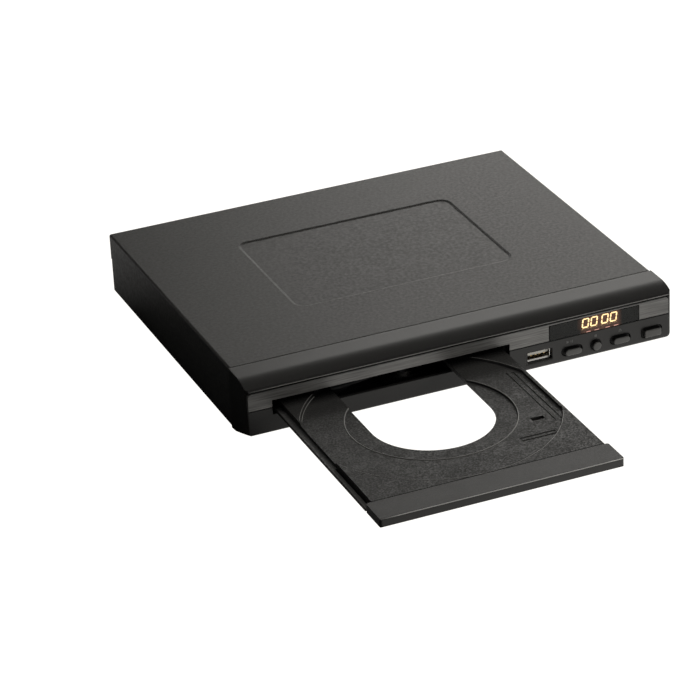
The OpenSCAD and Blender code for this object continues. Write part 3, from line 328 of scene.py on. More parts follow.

# %% [markdown]
# The tray has the matt skin. Its left runner is coloured pale as a painted
# highlight for the light that its top catches: that is the narrow place left of
# `runner_edge` and below `runner_top`. The part that stays behind the slot, and
# the last few millimetres before it, lie in deep shade. They are coloured nearly
# black, a painted shade that stands in for that shade and holds only as long as
# the slot is dark. Both places are masks of the surface's own coordinates, so
# they travel with the tray.

# %% Tray plastic
runner_edge, runner_width, runner_top = -0.0958, 0.0027, 0.0198
runner_grey = 0.048
shade_start, shade_end = front_face - 0.007, front_face + 0.001


# Painted light on the tray: a pale runner top as a painted highlight, and near-black painted shade
# at and behind the slot.
def tray_highlight_and_shade(f, skin, rough, flow):
    x, y, z = (axis(f, letter) for letter in "XYZ")
    # The mask of the painted highlight on the runner's top.
    runner_highlight = 1 - between(f, x, runner_edge, runner_edge + 0.0004)
    runner_highlight = runner_highlight * (1 - between(f, z, runner_top, runner_top + 0.0002))
    runner_highlight = runner_highlight * (x > runner_edge - runner_width)
    pale = blend(
        f, between(f, flow, 0.35, 0.65), colour(runner_grey, runner_grey, runner_grey * 0.96),
        colour(runner_grey * 1.4, runner_grey * 1.38, runner_grey * 1.34),
    )
    # The mask of the painted shade behind the slot.
    painted_shade_mask = between(f, y, shade_start, shade_end)
    shaded = blend(f, painted_shade_mask, blend(f, runner_highlight, skin, pale), colour(0.001, 0.001, 0.001))
    return shaded, rough + painted_shade_mask * 0.3


tray_plastic = moulded(
    "tray_spark_eroded", (0.021, 0.0206, 0.0197), rough=0.58, pit=0.0009, depth=0.00009,
    spread=0.34, mottle=0.46, painted_shading=tray_highlight_and_shade, Specular_IOR_Level=0.48,
)
print(tray_plastic.name)

# %% [markdown]
# ## Brushed strip and bright metals
#
# The trim strip has fine lines that run along it, so its noise is pulled out
# along X and stays narrow in Z. The same idea with other colours makes the
# zinc-plated steel, the ground rods and the nickel of the sockets.

# %% Brushed and plated metal
def brushed(
    name, base, rough, along="x", metal=1.0, spread=0.16, edge=0.0002, fine=0.0003, **fixed
):
    f = Finish(name)
    pull = {"x": (0.03, 1, 1), "y": (1, 0.03, 1), "z": (1, 1, 0.03)}[along]
    lines = stretched(f, fine, *pull)
    cloud = grain(f, 0.02, 2.0)
    tone = lines * 0.7 + cloud * 0.3
    skin = blend(
        f, between(f, tone, 0.35, 0.65), tint(base, 1 - spread), tint(base, 1 + spread)
    )
    gloss = between(f, lines, 0.3, 0.7, rough * 0.85, rough * 1.15)
    return close(f, skin, gloss, lines, depth=0.00001, edge=edge, Metallic=metal, **fixed)


strip_metal = brushed(
    "strip_dark_brushed", (0.145, 0.143, 0.138), rough=0.42, metal=0.3, spread=0.42,
    fine=0.0006, Specular_IOR_Level=0.5,
)
rod_metal = brushed("ground_steel", (0.60, 0.60, 0.59), rough=0.22, along="y")
sheet_metal = brushed("bridge_steel", (0.52, 0.53, 0.54), rough=0.34)
can_metal = brushed("motor_can", (0.48, 0.49, 0.50), rough=0.30, along="z")
print("brushed finishes ready")

# %% [markdown]
# Zinc-plated chassis steel shows spangle: flat crystals a few millimetres
# wide, each a little lighter or darker than its neighbour. Voronoi cells are
# just that, and their random cell colour sets the tone of each crystal.

# %% Zinc spangle
def spangle(name, base):
    f = Finish(name)
    cell = f.box(
        "ShaderNodeTexVoronoi", {}, {"Vector": f.place, "Scale": 260.0}, "Color"
    )
    level = f.box("ShaderNodeSeparateColor", {}, {"Color": cell}, "Red")
    scratch = stretched(f, 0.0004, 0.05, 1.0, 1.0)
    tone = level * 0.6 + scratch * 0.4
    skin = blend(f, tone, tint(base, 0.78), tint(base, 1.18))
    rough = between(f, level, 0.0, 1.0, 0.34, 0.48)
    return close(f, skin, rough, scratch, depth=0.00001, Metallic=0.9)


zinc_steel = spangle("zinc_spangle", (0.46, 0.47, 0.48))
print(zinc_steel.name)

# %% [markdown]
# ## Plating and rubber
#
# Nickel plating is a smooth bright metal with a faint haze, and brass is the
# same with another colour. Rubber is nearly black and matt, with dust in its
# pores.

# %% Plating and rubber
def plated(name, base, rough=0.16):
    f = Finish(name)
    haze = grain(f, 0.003, 3.0)
    specks = grain(f, 0.0004, 2.0)
    skin = blend(f, between(f, haze, 0.35, 0.65), tint(base, 0.9), tint(base, 1.06))
    gloss = between(f, haze * 0.6 + specks * 0.4, 0.35, 0.65, rough * 0.7, rough * 1.5)
    return close(f, skin, gloss, specks, depth=0.000004, Metallic=1.0)


def rubber(name, base):
    f = Finish(name)
    pores = grain(f, 0.0005, 4.0, 0.7)
    dust = grain(f, 0.008, 3.0)
    skin = blend(f, between(f, dust, 0.45, 0.75), tint(base, 0.9), tint(base, 1.8))
    rough = between(f, pores, 0.3, 0.7, 0.72, 0.88)
    return close(f, skin, rough, pores, depth=0.00006, edge=0.0004)


nickel = plated("nickel_plating", (0.72, 0.71, 0.68))
brass = plated("brass_pins", (0.72, 0.50, 0.20), rough=0.2)
foot_rubber = rubber("soft_rubber", (0.022, 0.022, 0.022))
print("plating and rubber ready")

# %% [markdown]
# A circuit board is a green or brown laminate. Its woven glass shows through as
# a fine check, and copper tracks under the mask make lighter lines, which a
# brick pattern stands for.

# %% Circuit boards
def laminate(name, mask_colour, track_colour):
    f = Finish(name)
    weave = f.box("ShaderNodeTexChecker", {}, {"Vector": f.place, "Scale": 1600.0}, "Fac")
    lanes = f.box(
        "ShaderNodeTexBrick", {"offset": 0.37, "squash": 0.7},
        {"Vector": f.place, "Scale": 190.0, "Mortar Size": 0.06, "Bias": 0.1}, "Fac",
    )
    cloud = grain(f, 0.01, 2.0)
    under = blend(f, lanes * between(f, cloud, 0.4, 0.6), mask_colour, track_colour)
    skin = blend(f, weave * 0.12, under, tint(mask_colour, 0.6))
    return close(f, skin, 0.34 + weave * 0.06, lanes, depth=0.00002, edge=0.0001)


green_board = laminate("green_laminate", colour(0.012, 0.10, 0.035), colour(0.03, 0.19, 0.07))
tan_board = laminate("tan_laminate", colour(0.30, 0.17, 0.06), colour(0.40, 0.25, 0.10))
print("boards ready")

# %% [markdown]
# ## Window and figures
#
# The display window is smoked plastic: from outside it looks dark and glossy,
# and the lit figures shine through it. An alpha of three quarters lets the
# figures through and keeps the room's reflection on top. Their light spreads in
# the plastic, so `halo` gives the left and right end of a dim red-brown glow.

# %% Smoked window
halo_fade = 0.0025


def smoked(name, base, alpha, halo=None, specular=0.5):
    f = Finish(name)
    wave = grain(f, 0.02, 1.0)
    haze = grain(f, 0.0008, 2.0)
    skin = blend(f, between(f, wave, 0.35, 0.65), tint(base, 0.9), tint(base, 1.1))
    glow = {}
    if halo:
        left, right, red = halo
        x = axis(f, "X")
        inside = between(f, x, left, left + halo_fade)
        inside = inside * (1 - between(f, x, right - halo_fade, right))
        mottle = grain(f, 0.0014, 2.0)
        warm = blend(f, between(f, mottle, 0.35, 0.65), tint(red, 0.7), tint(red, 1.3))
        glow = {
            "Emission_Color": blend(f, inside, colour(0, 0, 0), warm), "Emission_Strength": 1.0,
        }
    rough = between(f, haze, 0.3, 0.7, 0.16, 0.22)
    return close(f, skin, rough, Alpha=alpha, Specular_IOR_Level=specular, **glow)


window_plastic = smoked(
    "smoked_window", (0.016, 0.017, 0.016), alpha=0.74,
    halo=(0.0630, 0.0865, (0.075, 0.034, 0.022)), specular=0.20,
)
print(window_plastic.name)

# %% [markdown]
# The figures are lit bars, the face behind them glows faintly, and the sill
# mirrors both. All three are surfaces that give light, with a slow flicker from
# place to place, since no lamp is quite even.

# %% Lit surfaces
def lit(name, base, glow, strength, grain_size=0.0012):
    f = Finish(name)
    flicker = grain(f, grain_size, 2.0)
    mask = between(f, flicker, 0.3, 0.7)
    light = blend(f, mask, tint(glow, 0.8), tint(glow, 1.2))
    skin = blend(f, mask, tint(base, 0.9), tint(base, 1.1))
    return close(f, skin, 0.5, edge=0.0, Emission_Color=light, Emission_Strength=strength)


figure_light = lit("figure_light", (0.9, 0.6, 0.25), glow=(1.0, 0.70, 0.34), strength=26.0)
glow_face = lit(
    "display_glow", (0.05, 0.02, 0.015), glow=(0.20, 0.085, 0.045), strength=1.0,
    grain_size=0.004,
)
mirror_light = lit(
    "figure_reflection", (0.2, 0.1, 0.08), glow=(0.62, 0.32, 0.26), strength=1.0,
    grain_size=0.0007,
)
print("lit surfaces ready")

# %% [markdown]
# ## Other small finishes
#
# The rest are variations of what is already there: coloured collars that tell
# the sockets apart, the sleeves of the capacitors, ferrite, tape, wire and
# flat cable. The cable shows its conductors as fine lines along its length.

# %% Colours of the small parts
collar_skin = {"rough": 0.34, "pit": 0.0006, "depth": 0.00001}
yellow_plastic = moulded("collar_yellow", (0.70, 0.44, 0.03), spread=0.06, **collar_skin)
ivory_plastic = moulded("collar_white", (0.74, 0.73, 0.70), spread=0.04, **collar_skin)
red_plastic = moulded("collar_red", (0.42, 0.02, 0.015), spread=0.06, **collar_skin)
sleeve = moulded(
    "capacitor_sleeve", (0.02, 0.03, 0.10), rough=0.28, pit=0.001, depth=0.00001, spread=0.2,
)
ferrite = moulded(
    "ferrite_core", (0.045, 0.045, 0.05), rough=0.62, pit=0.0003, depth=0.00005, spread=0.3,
)
tape = brushed("winding_tape", (0.60, 0.42, 0.06), rough=0.36, metal=0.0, spread=0.12)
wire_skin = moulded("wire_sleeve", (0.03, 0.05, 0.26), rough=0.42, pit=0.001, depth=0.00001)
film = brushed(
    "flat_cable_film", (0.72, 0.71, 0.66), rough=0.36, along="y", metal=0.0, spread=0.10,
)
cooler = brushed("extruded_cooler", (0.62, 0.63, 0.64), rough=0.34, along="y")
cast_metal = moulded(
    "cast_sled", (0.28, 0.29, 0.30), rough=0.46, pit=0.0008, depth=0.00005, spread=0.2,
    Metallic=0.8,
)
fuse_glass = smoked("fuse_glass", (0.62, 0.65, 0.63), alpha=0.55)
lens_glass = smoked("coated_lens", (0.18, 0.26, 0.42), alpha=0.8)
print("small finishes ready")

# %% [markdown]
# ## Which node gets which finish
#
# Each finish is handed to the nodes that are made of it. The gears and the cam
# slide lie in view through the tray's slot, and are black so that the slot stays
# dark. A node left out here would keep the plain colour of the frame, so the
# list is checked against the frame's own list of nodes.

# %% Give the nodes their finishes
worn_by = {
    cover_paint: ["top_cover"],
    panel_plastic: ["front_panel"],
    strip_metal: ["fascia_strip"],
    window_plastic: ["display_window"],
    button_plastic: ["play_button", "stop_button", "eject_button", "power_button"],
    tray_plastic: ["disc_tray"],
    bezel_plastic: ["tray_bezel"],
    figure_light: ["display_digits"],
    inner_black: ["loader_frame", "drive_gear", "pulley_gear", "cam_slider"],
    black_plastic: [
        "display_module", "ir_receiver", "swing_frame", "tact_switches",
        "socket_block", "mains_inlet", "board_chips",
    ],
    white_plastic: ["usb_tongue", "clamper", "motor_pulley", "turntable", "board_connectors"],
    zinc_steel: ["bottom_chassis", "deck_plate"],
    sheet_metal: ["clamp_bridge", "clamper_plate"],
    can_metal: ["loading_motor", "spindle_motor", "sled_motor"],
    rod_metal: ["guide_rods", "lead_screw"],
    nickel: ["usb_shell", "socket_barrels", "digital_socket", "case_screws", "inner_screws"],
    brass: ["inlet_pins"],
    foot_rubber: ["feet", "dampers", "drive_belt"],
    green_board: ["main_board"],
    tan_board: ["power_board", "front_board"],
    cast_metal: ["pickup_body"],
    lens_glass: ["objective_lens"],
    fuse_glass: ["fuse"],
    yellow_plastic: ["video_collar"],
    ivory_plastic: ["left_collar"],
    red_plastic: ["right_collar"],
    sleeve: ["capacitors"],
    ferrite: ["transformer_core"],
    tape: ["transformer_winding"],
    wire_skin: ["mains_wires"],
    film: ["flat_cables"],
    cooler: ["heat_sinks"],
}
dressed = set()
for finish, names in worn_by.items():
    for name in names:
        slots = nodes[name].data.materials
        slots.clear()
        slots.append(finish)
        dressed.add(name)
print("dressed:", len(dressed), "left plain:", sorted(set(nodes) - dressed))

# %% [markdown]
# ## Small pieces made in mesh code
#
# Some pieces are too small for the drawing of solids, but the eye looks for
# them: the marks over the buttons, the contacts in the USB socket and the
# sleeves inside the round sockets. `place_piece` gives a mesh its finish and
# joins it to the CAD body that carries it, so that it moves with it.

# %% Put a mesh into the scene
def place_piece(name, mesh, finish, body):
    mesh.materials.append(finish)
    piece = bpy.data.objects.new(name, mesh)
    bpy.context.scene.collection.objects.link(piece)
    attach(piece, body)
    return piece


def from_bmesh(name, made):
    bmesh.ops.recalc_face_normals(made, faces=made.faces)
    mesh = bpy.data.meshes.new(name)
    made.to_mesh(mesh)
    made.free()
    return mesh


print("pieces can be placed")

# %% [markdown]
# Thin marks and bars are flat outlines with a little thickness. `plates` takes
# several outlines in the plane of the front, each a list of (x, z) points in
# millimetres, and gives them all one depth, from y0 to y1. `soften` bevels the
# edges of the bars that are thick enough to need it. `upright_bar` outlines a
# plain bar, and `moved` puts a mark that is drawn round nought in its place.

# %% Flat outlines with thickness
def plates(name, outlines, y0, y1, soften=0.02):
    made = bmesh.new()
    for outline in outlines:
        front = [made.verts.new(at(x, y0, z)) for x, z in outline]
        back = [made.verts.new(at(x, y1, z)) for x, z in outline]
        made.faces.new(front)
        made.faces.new(back[::-1])
        count = len(outline)
        for i in range(count):
            j = (i + 1) % count
            made.faces.new((front[i], back[i], back[j], front[j]))
    if soften:
        bmesh.ops.bevel(
            made, geom=list(made.edges), offset=soften / 1000, segments=2, affect="EDGES"
        )
    return from_bmesh(name, made)


def upright_bar(left, low, right, high):
    return [(left, low), (right, low), (right, high), (left, high)]


def moved(cx, cz, points, size):
    return [(cx + px * size, cz + pz * size) for px, pz in points]


print("outlines ready")

# %% [markdown]
# The marks over the buttons are the plain signs that every player has: a
# triangle and two bars for play and pause, a square for stop, and a triangle
# over a bar for the tray. They are printed in pale grey ink, under a tenth of a
# millimetre thick.

# %% Marks over the buttons
ink = moulded(
    "pale_ink", (0.10, 0.10, 0.096), rough=0.5, pit=0.0003, depth=0.000004, spread=0.15,
    edge=0.0,
)
triangle = [(-0.5, -0.5), (0.5, 0.0), (-0.5, 0.5)]
pointing_up = [(-0.6, -0.15), (0.6, -0.15), (0.0, 0.55)]
square = upright_bar(-0.42, -0.42, 0.42, 0.42)
upright = upright_bar(-0.1, -0.5, 0.1, 0.5)
flat = upright_bar(-0.6, -0.55, 0.6, -0.35)
button_x = {"play": 58.8, "stop": 71.8, "eject": 85.4, "power": 102.8}
mark_height, mark_size = 17.9, 1.5
marks = [
    moved(button_x["play"] - 2.2, mark_height, triangle, mark_size),
    moved(button_x["play"] - 0.5, mark_height, upright, mark_size),
    moved(button_x["play"] + 0.3, mark_height, upright, mark_size),
    moved(button_x["stop"], mark_height, square, mark_size),
    moved(button_x["eject"], mark_height, pointing_up, mark_size),
    moved(button_x["eject"], mark_height, flat, mark_size),
]
place_piece(
    "button_marks", plates("button_marks", marks, y0=-0.04, y1=0.03, soften=0.0), ink, "case",
)
print("marks:", len(marks))

# %% [markdown]
# A button cap and the shell of a USB socket are both a stack of rounded
# rectangles, each with its own depth and its own inset. `soft_ring` makes one
# rectangle and `stacked` skins them. A hollow stack also joins its last ring to
# its first, which makes a tube with a wall.

# %% Stack rounded rectangles
def soft_ring(cx, cz, half_x, half_z, corner, y, steps=6):
    ring = []
    for quarter, (sx, sz) in enumerate(((1, 1), (-1, 1), (-1, -1), (1, -1))):
        for i in range(steps + 1):
            turn = math.radians(90 * quarter + 90 * i / steps)
            ring.append(at(
                cx + sx * (half_x - corner) + corner * math.cos(turn), y,
                cz + sz * (half_z - corner) + corner * math.sin(turn),
            ))
    return ring


def stacked(name, cx, cz, half_x, half_z, corner, levels, hollow=False):
    made = bmesh.new()
    rings = []
    for y, grow in levels:
        spots = soft_ring(
            cx, cz, half_x + grow, half_z + grow, max(corner + grow, 0.02), y
        )
        rings.append([made.verts.new(spot) for spot in spots])
    pairs = list(zip(rings, rings[1:] + rings[:1])) if hollow else list(zip(rings, rings[1:]))
    for first, second in pairs:
        for i in range(len(first)):
            j = (i + 1) % len(first)
            made.faces.new((first[i], first[j], second[j], second[i]))
    if not hollow:
        made.faces.new(rings[0])
        made.faces.new(rings[-1][::-1])
    mesh = from_bmesh(name, made)
    for face in mesh.polygons:
        face.use_smooth = True
    mesh.set_sharp_from_angle(angle=math.radians(50))
    return mesh


print("stacks ready")

# %% [markdown]
# The real button caps stand proud of the panel and have rounded rims. They could
# be bevelled copies of the drawing's plain caps, but a stack gives each rim its
# own curve. Each cap has a wider flange behind the panel, and its sides are
# coloured black from just behind the rim, a painted shade where no light gets in.
# A matt black ring of painted shade on the panel fills the gap round the cap. The
# caps stand for the drawing's nodes and ride on their bodies, so that they can be
# pressed.

# %% Button caps
cap_front, button_height, well_width = -2.3, 13.0, 0.86
cap_levels = [
    (3.8, 1.9), (2.3, 1.9), (2.3, 0.0), (cap_front + 0.45, 0.0), (cap_front + 0.2, -0.07),
    (cap_front + 0.06, -0.22), (cap_front, -0.45),
]
well_levels = [(0.5, 0.12), (0.3, 0.12), (0.3, well_width), (0.5, well_width)]
cap_sizes = {
    "play": (4.4, 1.6, 1.58), "stop": (2.2, 2.2, 2.18),
    "eject": (4.4, 1.6, 1.58), "power": (4.5, 1.95, 0.7),
}
dark_behind = at(0, cap_front + 0.5, 0).y
for name, half_sizes in cap_sizes.items():
    outline = (button_x[name], button_height, *half_sizes)
    cap = place_piece(
        name + "_cap", stacked(name + "_cap", *outline, cap_levels), button_plastic, name,
    )
    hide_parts(name + "_button")
    # Painted shade: the cap's sides behind the rim take the near-black finish.
    cap.data.materials.append(cap_side_shade)
    for face in cap.data.polygons:
        if face.center.y > dark_behind:
            face.material_index = 1
    # Painted shade: a matt black ring in the gap round each cap.
    place_piece(
        name + "_well", stacked(name + "_well", *outline, well_levels, hollow=True), painted_shade_black,
        "case",
    )
print("caps:", list(cap_sizes))

# %% [markdown]
# The USB socket is a folded tin shell deep in its hole, with a plastic tongue at
# the top. Two stacks make it: a surround that narrows the panel's hole, and the
# shell with a rounded lip. A flat bright bar stands for the lit lower lip, and
# the tongue is a plain bar with soft edges.

# %% USB socket
usb_x, usb_z, shell_front, shell_back = 41.3, 13.9, 2.1, 8.9


def socket_bar(half_width, low, high):
    return upright_bar(usb_x - half_width, usb_z + low, usb_x + half_width, usb_z + high)


bright_edge = moulded(
    "bright_edge", (0.92, 0.91, 0.88), rough=0.4, pit=0.0008, depth=0.00001, spread=0.04,
    edge=0.0,
)
surround_levels = [(1.9, 0.0), (0.2, 0.0), (0.05, 0.1), (0.05, 1.0), (1.9, 1.0)]
place_piece(
    "usb_surround",
    stacked("usb_surround", usb_x, usb_z, 6.75, 2.95, 0.3, surround_levels, hollow=True),
    panel_plastic, "case",
)
shell_levels = [
    (shell_back, 0.0), (shell_front + 0.1, 0.0), (shell_front, -0.1), (shell_front, -0.3),
    (shell_front + 0.1, -0.4), (shell_back, -0.4),
]
usb_frame = place_piece(
    "usb_frame", stacked("usb_frame", usb_x, usb_z, 6.5, 2.75, 0.5, shell_levels, hollow=True),
    nickel, "case",
)
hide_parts("usb_shell")
usb_insert = place_piece(
    "usb_insert",
    plates("usb_insert", [socket_bar(5.6, 0.2, 2.0)], shell_front + 0.4, shell_back - 0.2, 0.12),
    white_plastic, "case",
)
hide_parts("usb_tongue")
place_piece(
    "usb_lip",
    plates("usb_lip", [socket_bar(6.2, -2.7, -1.9)], shell_front - 0.04, shell_front + 0.4, 0.05),
    bright_edge, "case",
)
print("socket:", [round(v, 4) for v in usb_frame.dimensions])

# %% [markdown]
# Behind the smoked window the figures stand on a dark red-brown face, and the
# sill in front of them mirrors their light as a row of dim bars. The face is a
# thin plate just behind the figures. The mirrored bars lie flat on the sill.

# %% Glow behind the figures and on the sill
place_piece(
    "display_glow",
    plates("display_glow", [upright_bar(63.7, 21.3, 86.5, 28.6)], y0=3.48, y1=3.59),
    glow_face, "case",
)
figure_width, sill_low, sill_high = 2.6, 21.05, 21.4
sill_bars = [
    [
        (left, sill_low), (left + figure_width, sill_low),
        (left + figure_width - 0.2, sill_high), (left + 0.2, sill_high),
    ]
    for left in (66.6, 71.2, 77.2, 81.8)
]
place_piece(
    "figure_mirror", plates("figure_mirror", sill_bars, y0=-0.18, y1=-0.1, soften=0.0),
    mirror_light, "case",
)
print("mirrored figures:", len(sill_bars))

# %% [markdown]
# The window's ends stand in dark gaps, and a black seam runs under the lip of
# the panel. Both are too narrow to fall dark by themselves in a small render,
# so each gets a thin matt black filler at the bottom of its gap.

# %% Dark gaps
gaps = [upright_bar(46.42, 21.0, 46.85, 28.9), upright_bar(95.55, 21.0, 95.98, 28.9)]
place_piece(
    "window_gaps", plates("window_gaps", gaps, y0=-0.17, y1=0.3, soften=0.0), painted_shade_black, "case",
)
seam = upright_bar(-111.5, 30.05, 111.5, 30.65)
place_piece(
    "seam_filler", plates("seam_filler", [seam], y0=0.3, y1=1.2, soften=0.0), painted_shade_black, "case",
)
print("gaps:", len(gaps) + 1)

# %% [markdown]
# The tray has three such places too: the channel beside its left runner, the
# seam behind its front bar and the well under the sensor window. Each gets a thin
# matt black tile of painted shade that rides with the tray.

# %% Dark places of the tray
def tile(name, nearest, furthest, soften=0.01):
    made = bmesh.new()
    low, high = at(*nearest), at(*furthest)
    for vert in bmesh.ops.create_cube(made, size=1.0)["verts"]:
        vert.co = Vector([low[i] if vert.co[i] < 0 else high[i] for i in range(3)])
    bmesh.ops.bevel(
        made, geom=list(made.edges), offset=soften / 1000, segments=2, affect="EDGES"
    )
    return place_piece(name, from_bmesh(name, made), painted_shade_black, "tray")


tray_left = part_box("tray_bezel")[0].x * 1000
tiles = [
    tile("channel_shade", (tray_left + 2.3, -107.4, 19.38), (tray_left + 3.2, -68.0, 19.5)),
    tile("bar_seam", (tray_left + 3.5, -108.45, 21.6), (tray_left + 120.2, -107.5, 22.23)),
    tile("sensor_well", (2.7, -71.0, 19.2), (9.7, -67.5, 19.5)),
]
print("tiles:", [piece.name for piece in tiles])

# %% [markdown]
# Some edges catch the light as a fine line: the rims of both disc recesses, the
# upper edge of the tray's bar and the lip of the panel. A round bead a few
# tenths of a millimetre thick lies half sunk along each edge, coloured pale as a
# painted highlight. `bead` sweeps a small circle along a list of points.

# %% Sweep a bead along an edge
def bead(name, paths, radius, sides=8):
    made = bmesh.new()
    for path in paths:
        spots = [at(*point) for point in path]
        rings = []
        for i, spot in enumerate(spots):
            before, after = spots[max(i - 1, 0)], spots[min(i + 1, len(spots) - 1)]
            along = (after - before).normalized()
            side = along.cross(Vector((0, 0, 1))).normalized()
            over = side.cross(along)
            ring = []
            for k in range(sides):
                turn = 2 * math.pi * k / sides
                reach = side * math.cos(turn) + over * math.sin(turn)
                ring.append(made.verts.new(spot + reach * radius / 1000))
            rings.append(ring)
        for first, second in zip(rings, rings[1:]):
            for k in range(sides):
                j = (k + 1) % sides
                made.faces.new((first[k], first[j], second[j], second[k]))
        made.faces.new(rings[0][::-1])
        made.faces.new(rings[-1])
    mesh = from_bmesh(name, made)
    for face in mesh.polygons:
        face.use_smooth = True
    return mesh


def arc_on(cx, cy, z, radius, start, end, steps=24):
    return [
        (
            cx + radius * math.sin(math.radians(start + (end - start) * i / steps)),
            cy - radius * math.cos(math.radians(start + (end - start) * i / steps)),
            z,
        )
        for i in range(steps + 1)
    ]


print("beads ready")

# %% [markdown]
# Angles of the rims count from the front, to the right. The small rim stops at
# the pickup opening, and the large one is cut off by the sides of the tray, so
# it is three arcs. A fourth lies at the foot of the step at the rear left. The
# bar's edge has the brightest painted highlight, and the lip of the panel a faint one.

# %% Painted highlights on edges
# Pale finishes of the beads, which are painted highlights.
highlight_skin = {"pit": 0.0008, "depth": 0.000004, "spread": 0.12, "edge": 0.0}
rim_highlight = moulded("painted_rim_highlight", (0.15, 0.147, 0.141), rough=0.34, **highlight_skin)
lip_highlight = moulded("painted_lip_highlight", (0.17, 0.168, 0.162), rough=0.30, **highlight_skin)
bar_highlight = moulded("painted_bar_highlight", (0.42, 0.415, 0.40), rough=0.30, **highlight_skin)

disc_middle = (-37.8, -45.4)
small_rim = [arc_on(*disc_middle, 20.98, 41.0, -131, 131, steps=120)]
large_rims = [
    arc_on(*disc_middle, 22.12, 62.0, -67, 67, steps=90),
    arc_on(*disc_middle, 22.12, 62.0, 113, 138),
    arc_on(*disc_middle, 22.12, 62.0, -113, -138),
    arc_on(*disc_middle, 21.08, 61.0, -113, -138),
]
low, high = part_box("tray_bezel")
bar_left, bar_right = low.x * 1000 + 0.4, high.x * 1000 - 0.4
bar_y, bar_z = (low.y - front_face) * 1000 + 0.2, high.z * 1000 - 0.16
bar_line = [(bar_left + (bar_right - bar_left) * i / 12, bar_y, bar_z) for i in range(13)]
lip_half = 111.8
lip_line = [(-lip_half + 2 * lip_half * i / 20, -1.12, 31.72) for i in range(21)]
for name, paths, radius, finish, body, slot in (
    ("small_recess_rim", small_rim, 0.28, rim_highlight, "tray", "tray_plastic"),
    ("large_recess_rims", large_rims, 0.18, rim_highlight, "tray", "tray_plastic"),
    ("bar_edge", [bar_line], 0.22, bar_highlight, "tray", "bezel_plastic"),
    ("lip_edge", [lip_line], 0.17, lip_highlight, "case", "panel_plastic"),
):
    place_piece(name, bead(name, paths, radius), finish, body)
print("beads:", len(small_rim) + len(large_rims) + 2)

# %% [markdown]
# The USB socket has four gilt contacts on the underside of its tongue. They are
# flat strips, so `plates` makes them, with wider gaps to the two outer ones.

# %% USB contacts
gilt = plated("gilt_contacts", (0.42, 0.31, 0.16), rough=0.3)
contact_width, contact_height = 1.0, 0.62
contacts = []
for x in (-3.5, -1.0, 1.0, 3.5):
    left, low = usb_x + x - contact_width / 2, usb_z - 0.45
    contacts.append(upright_bar(left, low, left + contact_width, low + contact_height))
place_piece(
    "usb_contacts", plates("usb_contacts", contacts, y0=2.9, y1=7.5, soften=0.04), gilt, "case",
)
print("contacts:", len(contacts))

# %% [markdown]
# Each round socket holds a plastic sleeve for the middle pin of the plug. It is
# a turned shape: a profile of radius and depth, spun round the socket's axis.

# %% Spin a profile round an axis that points to the rear
def spun(name, x, z, profile, steps=40):
    made = bmesh.new()
    rings = []
    for radius, y in profile:
        ring = []
        for i in range(steps):
            a = 2 * math.pi * i / steps
            ring.append(made.verts.new(at(x + radius * math.cos(a), y, z + radius * math.sin(a))))
        rings.append(ring)
    for first, second in zip(rings, rings[1:] + rings[:1]):
        for i in range(steps):
            j = (i + 1) % steps
            made.faces.new((first[i], first[j], second[j], second[i]))
    mesh = from_bmesh(name, made)
    for face in mesh.polygons:
        face.use_smooth = True
    mesh.set_sharp_from_angle(angle=math.radians(40))
    return mesh


barrel_rear = (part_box("socket_barrels")[1].y - front_face) * 1000
socket_centres, socket_height = [-50, -36, -22], 17.5
sleeve_radius, pin_radius, sleeve_front = 3.3, 1.75, barrel_rear - 17
sleeve_profile = [
    (sleeve_radius, sleeve_front), (sleeve_radius, barrel_rear - 2.2), (2.3, barrel_rear - 1.6),
    (pin_radius, barrel_rear - 2.0), (pin_radius, sleeve_front),
]
for number, x in enumerate(socket_centres, 1):
    name = f"socket_sleeve_{number}"
    place_piece(
        name, spun(name, x, socket_height, sleeve_profile), ivory_plastic, "case",
    )
print("sleeves:", len(socket_centres))

# %% [markdown]
# ## Floor, light and background
#
# The photograph was taken on white. The player is nearly black, so most of
# what the eye sees on it is gloss: its top mirrors a bright wall at the rear
# right, its front mirrors the white floor, and its left side looks into its
# own shadow. The floor is therefore white to the camera everywhere, and white
# to reflections in front, to the right and far behind, but dark to them beside
# the left side. To bounced light it is grey card.

# %% Floor
def kind_of_ray(finish, word):
    return finish.box("ShaderNodeLightPath", {}, {}, word)


f = Finish("pale_floor")
clear = kind_of_ray(f, "Is Camera Ray").larger(kind_of_ray(f, "Is Transmission Ray"))
mirrored = kind_of_ray(f, "Is Glossy Ray")
sideways, to_rear = axis(f, "X"), axis(f, "Y")
right_of_case = between(f, sideways, -0.112, -0.095)
in_front = right_of_case * between(f, sideways, -0.12, 0.05, 0.42, 1.0)
beyond = between(f, to_rear, 0.13, 0.24, 0.0, 0.4)
shown = clear * 0.93 + mirrored * in_front.larger(beyond)
card = blend(f, grain(f, 0.004, 2.0), colour(0.19, 0.19, 0.19), colour(0.22, 0.22, 0.22))
matt = f.box(
    "ShaderNodeBsdfDiffuse", {}, {"Color": blend(f, mirrored * 0.85, card, colour(0, 0, 0))},
)
bright = f.box("ShaderNodeEmission", {}, {"Color": colour(1, 0.982, 0.948), "Strength": 1.24})
floor_mix = f.box("ShaderNodeMixShader", {}, {0: shown, 1: matt, 2: bright})
f.box("ShaderNodeOutputMaterial", {}, {"Surface": floor_mix})

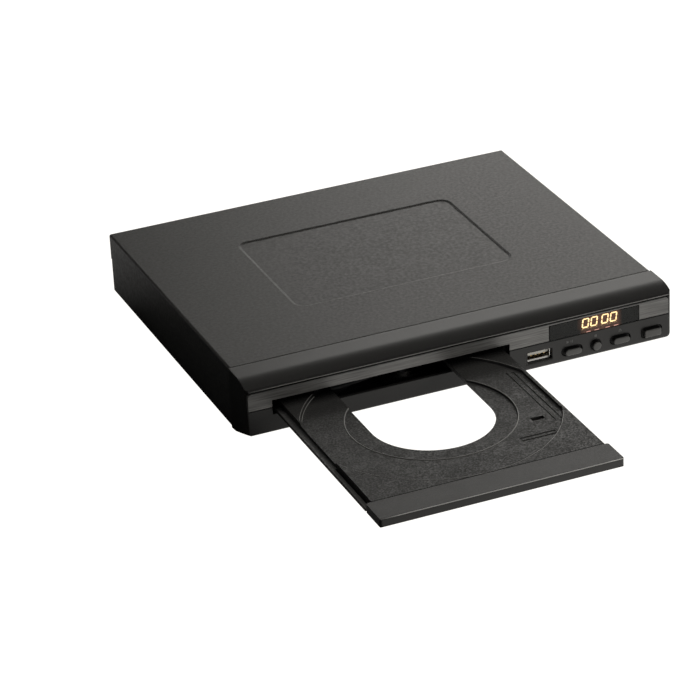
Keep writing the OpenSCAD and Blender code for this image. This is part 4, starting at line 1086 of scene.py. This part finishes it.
floor_reach = 6.0
floor_made = bmesh.new()
bmesh.ops.create_grid(floor_made, x_segments=8, y_segments=8, size=floor_reach)
floor_mesh = from_bmesh("floor", floor_made)
floor_mesh.materials.append(f.material)
floor = bpy.data.objects.new("floor", floor_mesh)
bpy.context.scene.collection.objects.link(floor)
print("floor ready")

# %% [markdown]
# Three area lamps stand for the studio. The overhead one lights everything
# evenly, and is kept out of reflections so that the curved front edge shows no
# hot line. The rear panel is the bright wall that the top mirrors, and since it
# stands to the right, the top gets lighter from left to right. The last one
# fills the front a little from the right. Places are in metres, powers in watts.

# %% Lamps
def soft_lamp(name, place, target, width, depth, power, glossy=True):
    data = bpy.data.lights.new(name, "AREA")
    data.shape = "RECTANGLE"
    data.size = width
    data.size_y = depth
    data.energy = power
    data.color = (1.0, 0.98, 0.94)
    lamp = bpy.data.objects.new(name, data)
    bpy.context.scene.collection.objects.link(lamp)
    lamp.location = place
    aim = Vector(target) - Vector(place)
    lamp.rotation_euler = aim.to_track_quat("-Z", "Y").to_euler()
    lamp.visible_glossy = glossy
    return lamp


lamps = [
    soft_lamp(
        "overhead", place=(0.30, 0.10, 0.95), target=(0.0, 0.0, 0.02), width=1.0, depth=1.0,
        power=6.0, glossy=False,
    ),
    soft_lamp(
        "rear_panel", place=(0.82, 0.95, 0.46), target=(0.0, 0.05, 0.03), width=1.15,
        depth=0.66, power=5.6,
    ),
    soft_lamp(
        "front_fill", place=(0.70, -0.75, 0.30), target=(0.0, -0.05, 0.02), width=0.5,
        depth=0.4, power=5.0, glossy=False,
    ),
]
print("lamps:", [lamp.name for lamp in lamps])

# %% [markdown]
# The world is the dim room round the set. Its light on the player is weak, but
# the camera sees it as white, directly or through something clear.

# %% World
room = Finish("room", "worlds")
world_seen = kind_of_ray(room, "Is Camera Ray").larger(kind_of_ray(room, "Is Transmission Ray"))
room_level = 0.06 + world_seen * 0.96
room_light = room.box(
    "ShaderNodeBackground", {}, {"Color": colour(1, 1, 1), "Strength": room_level}
)
room.box("ShaderNodeOutputWorld", {}, {"Surface": room_light})
bpy.context.scene.world = room.material
bpy.context.scene.view_settings.view_transform = "Standard"
print("world ready")
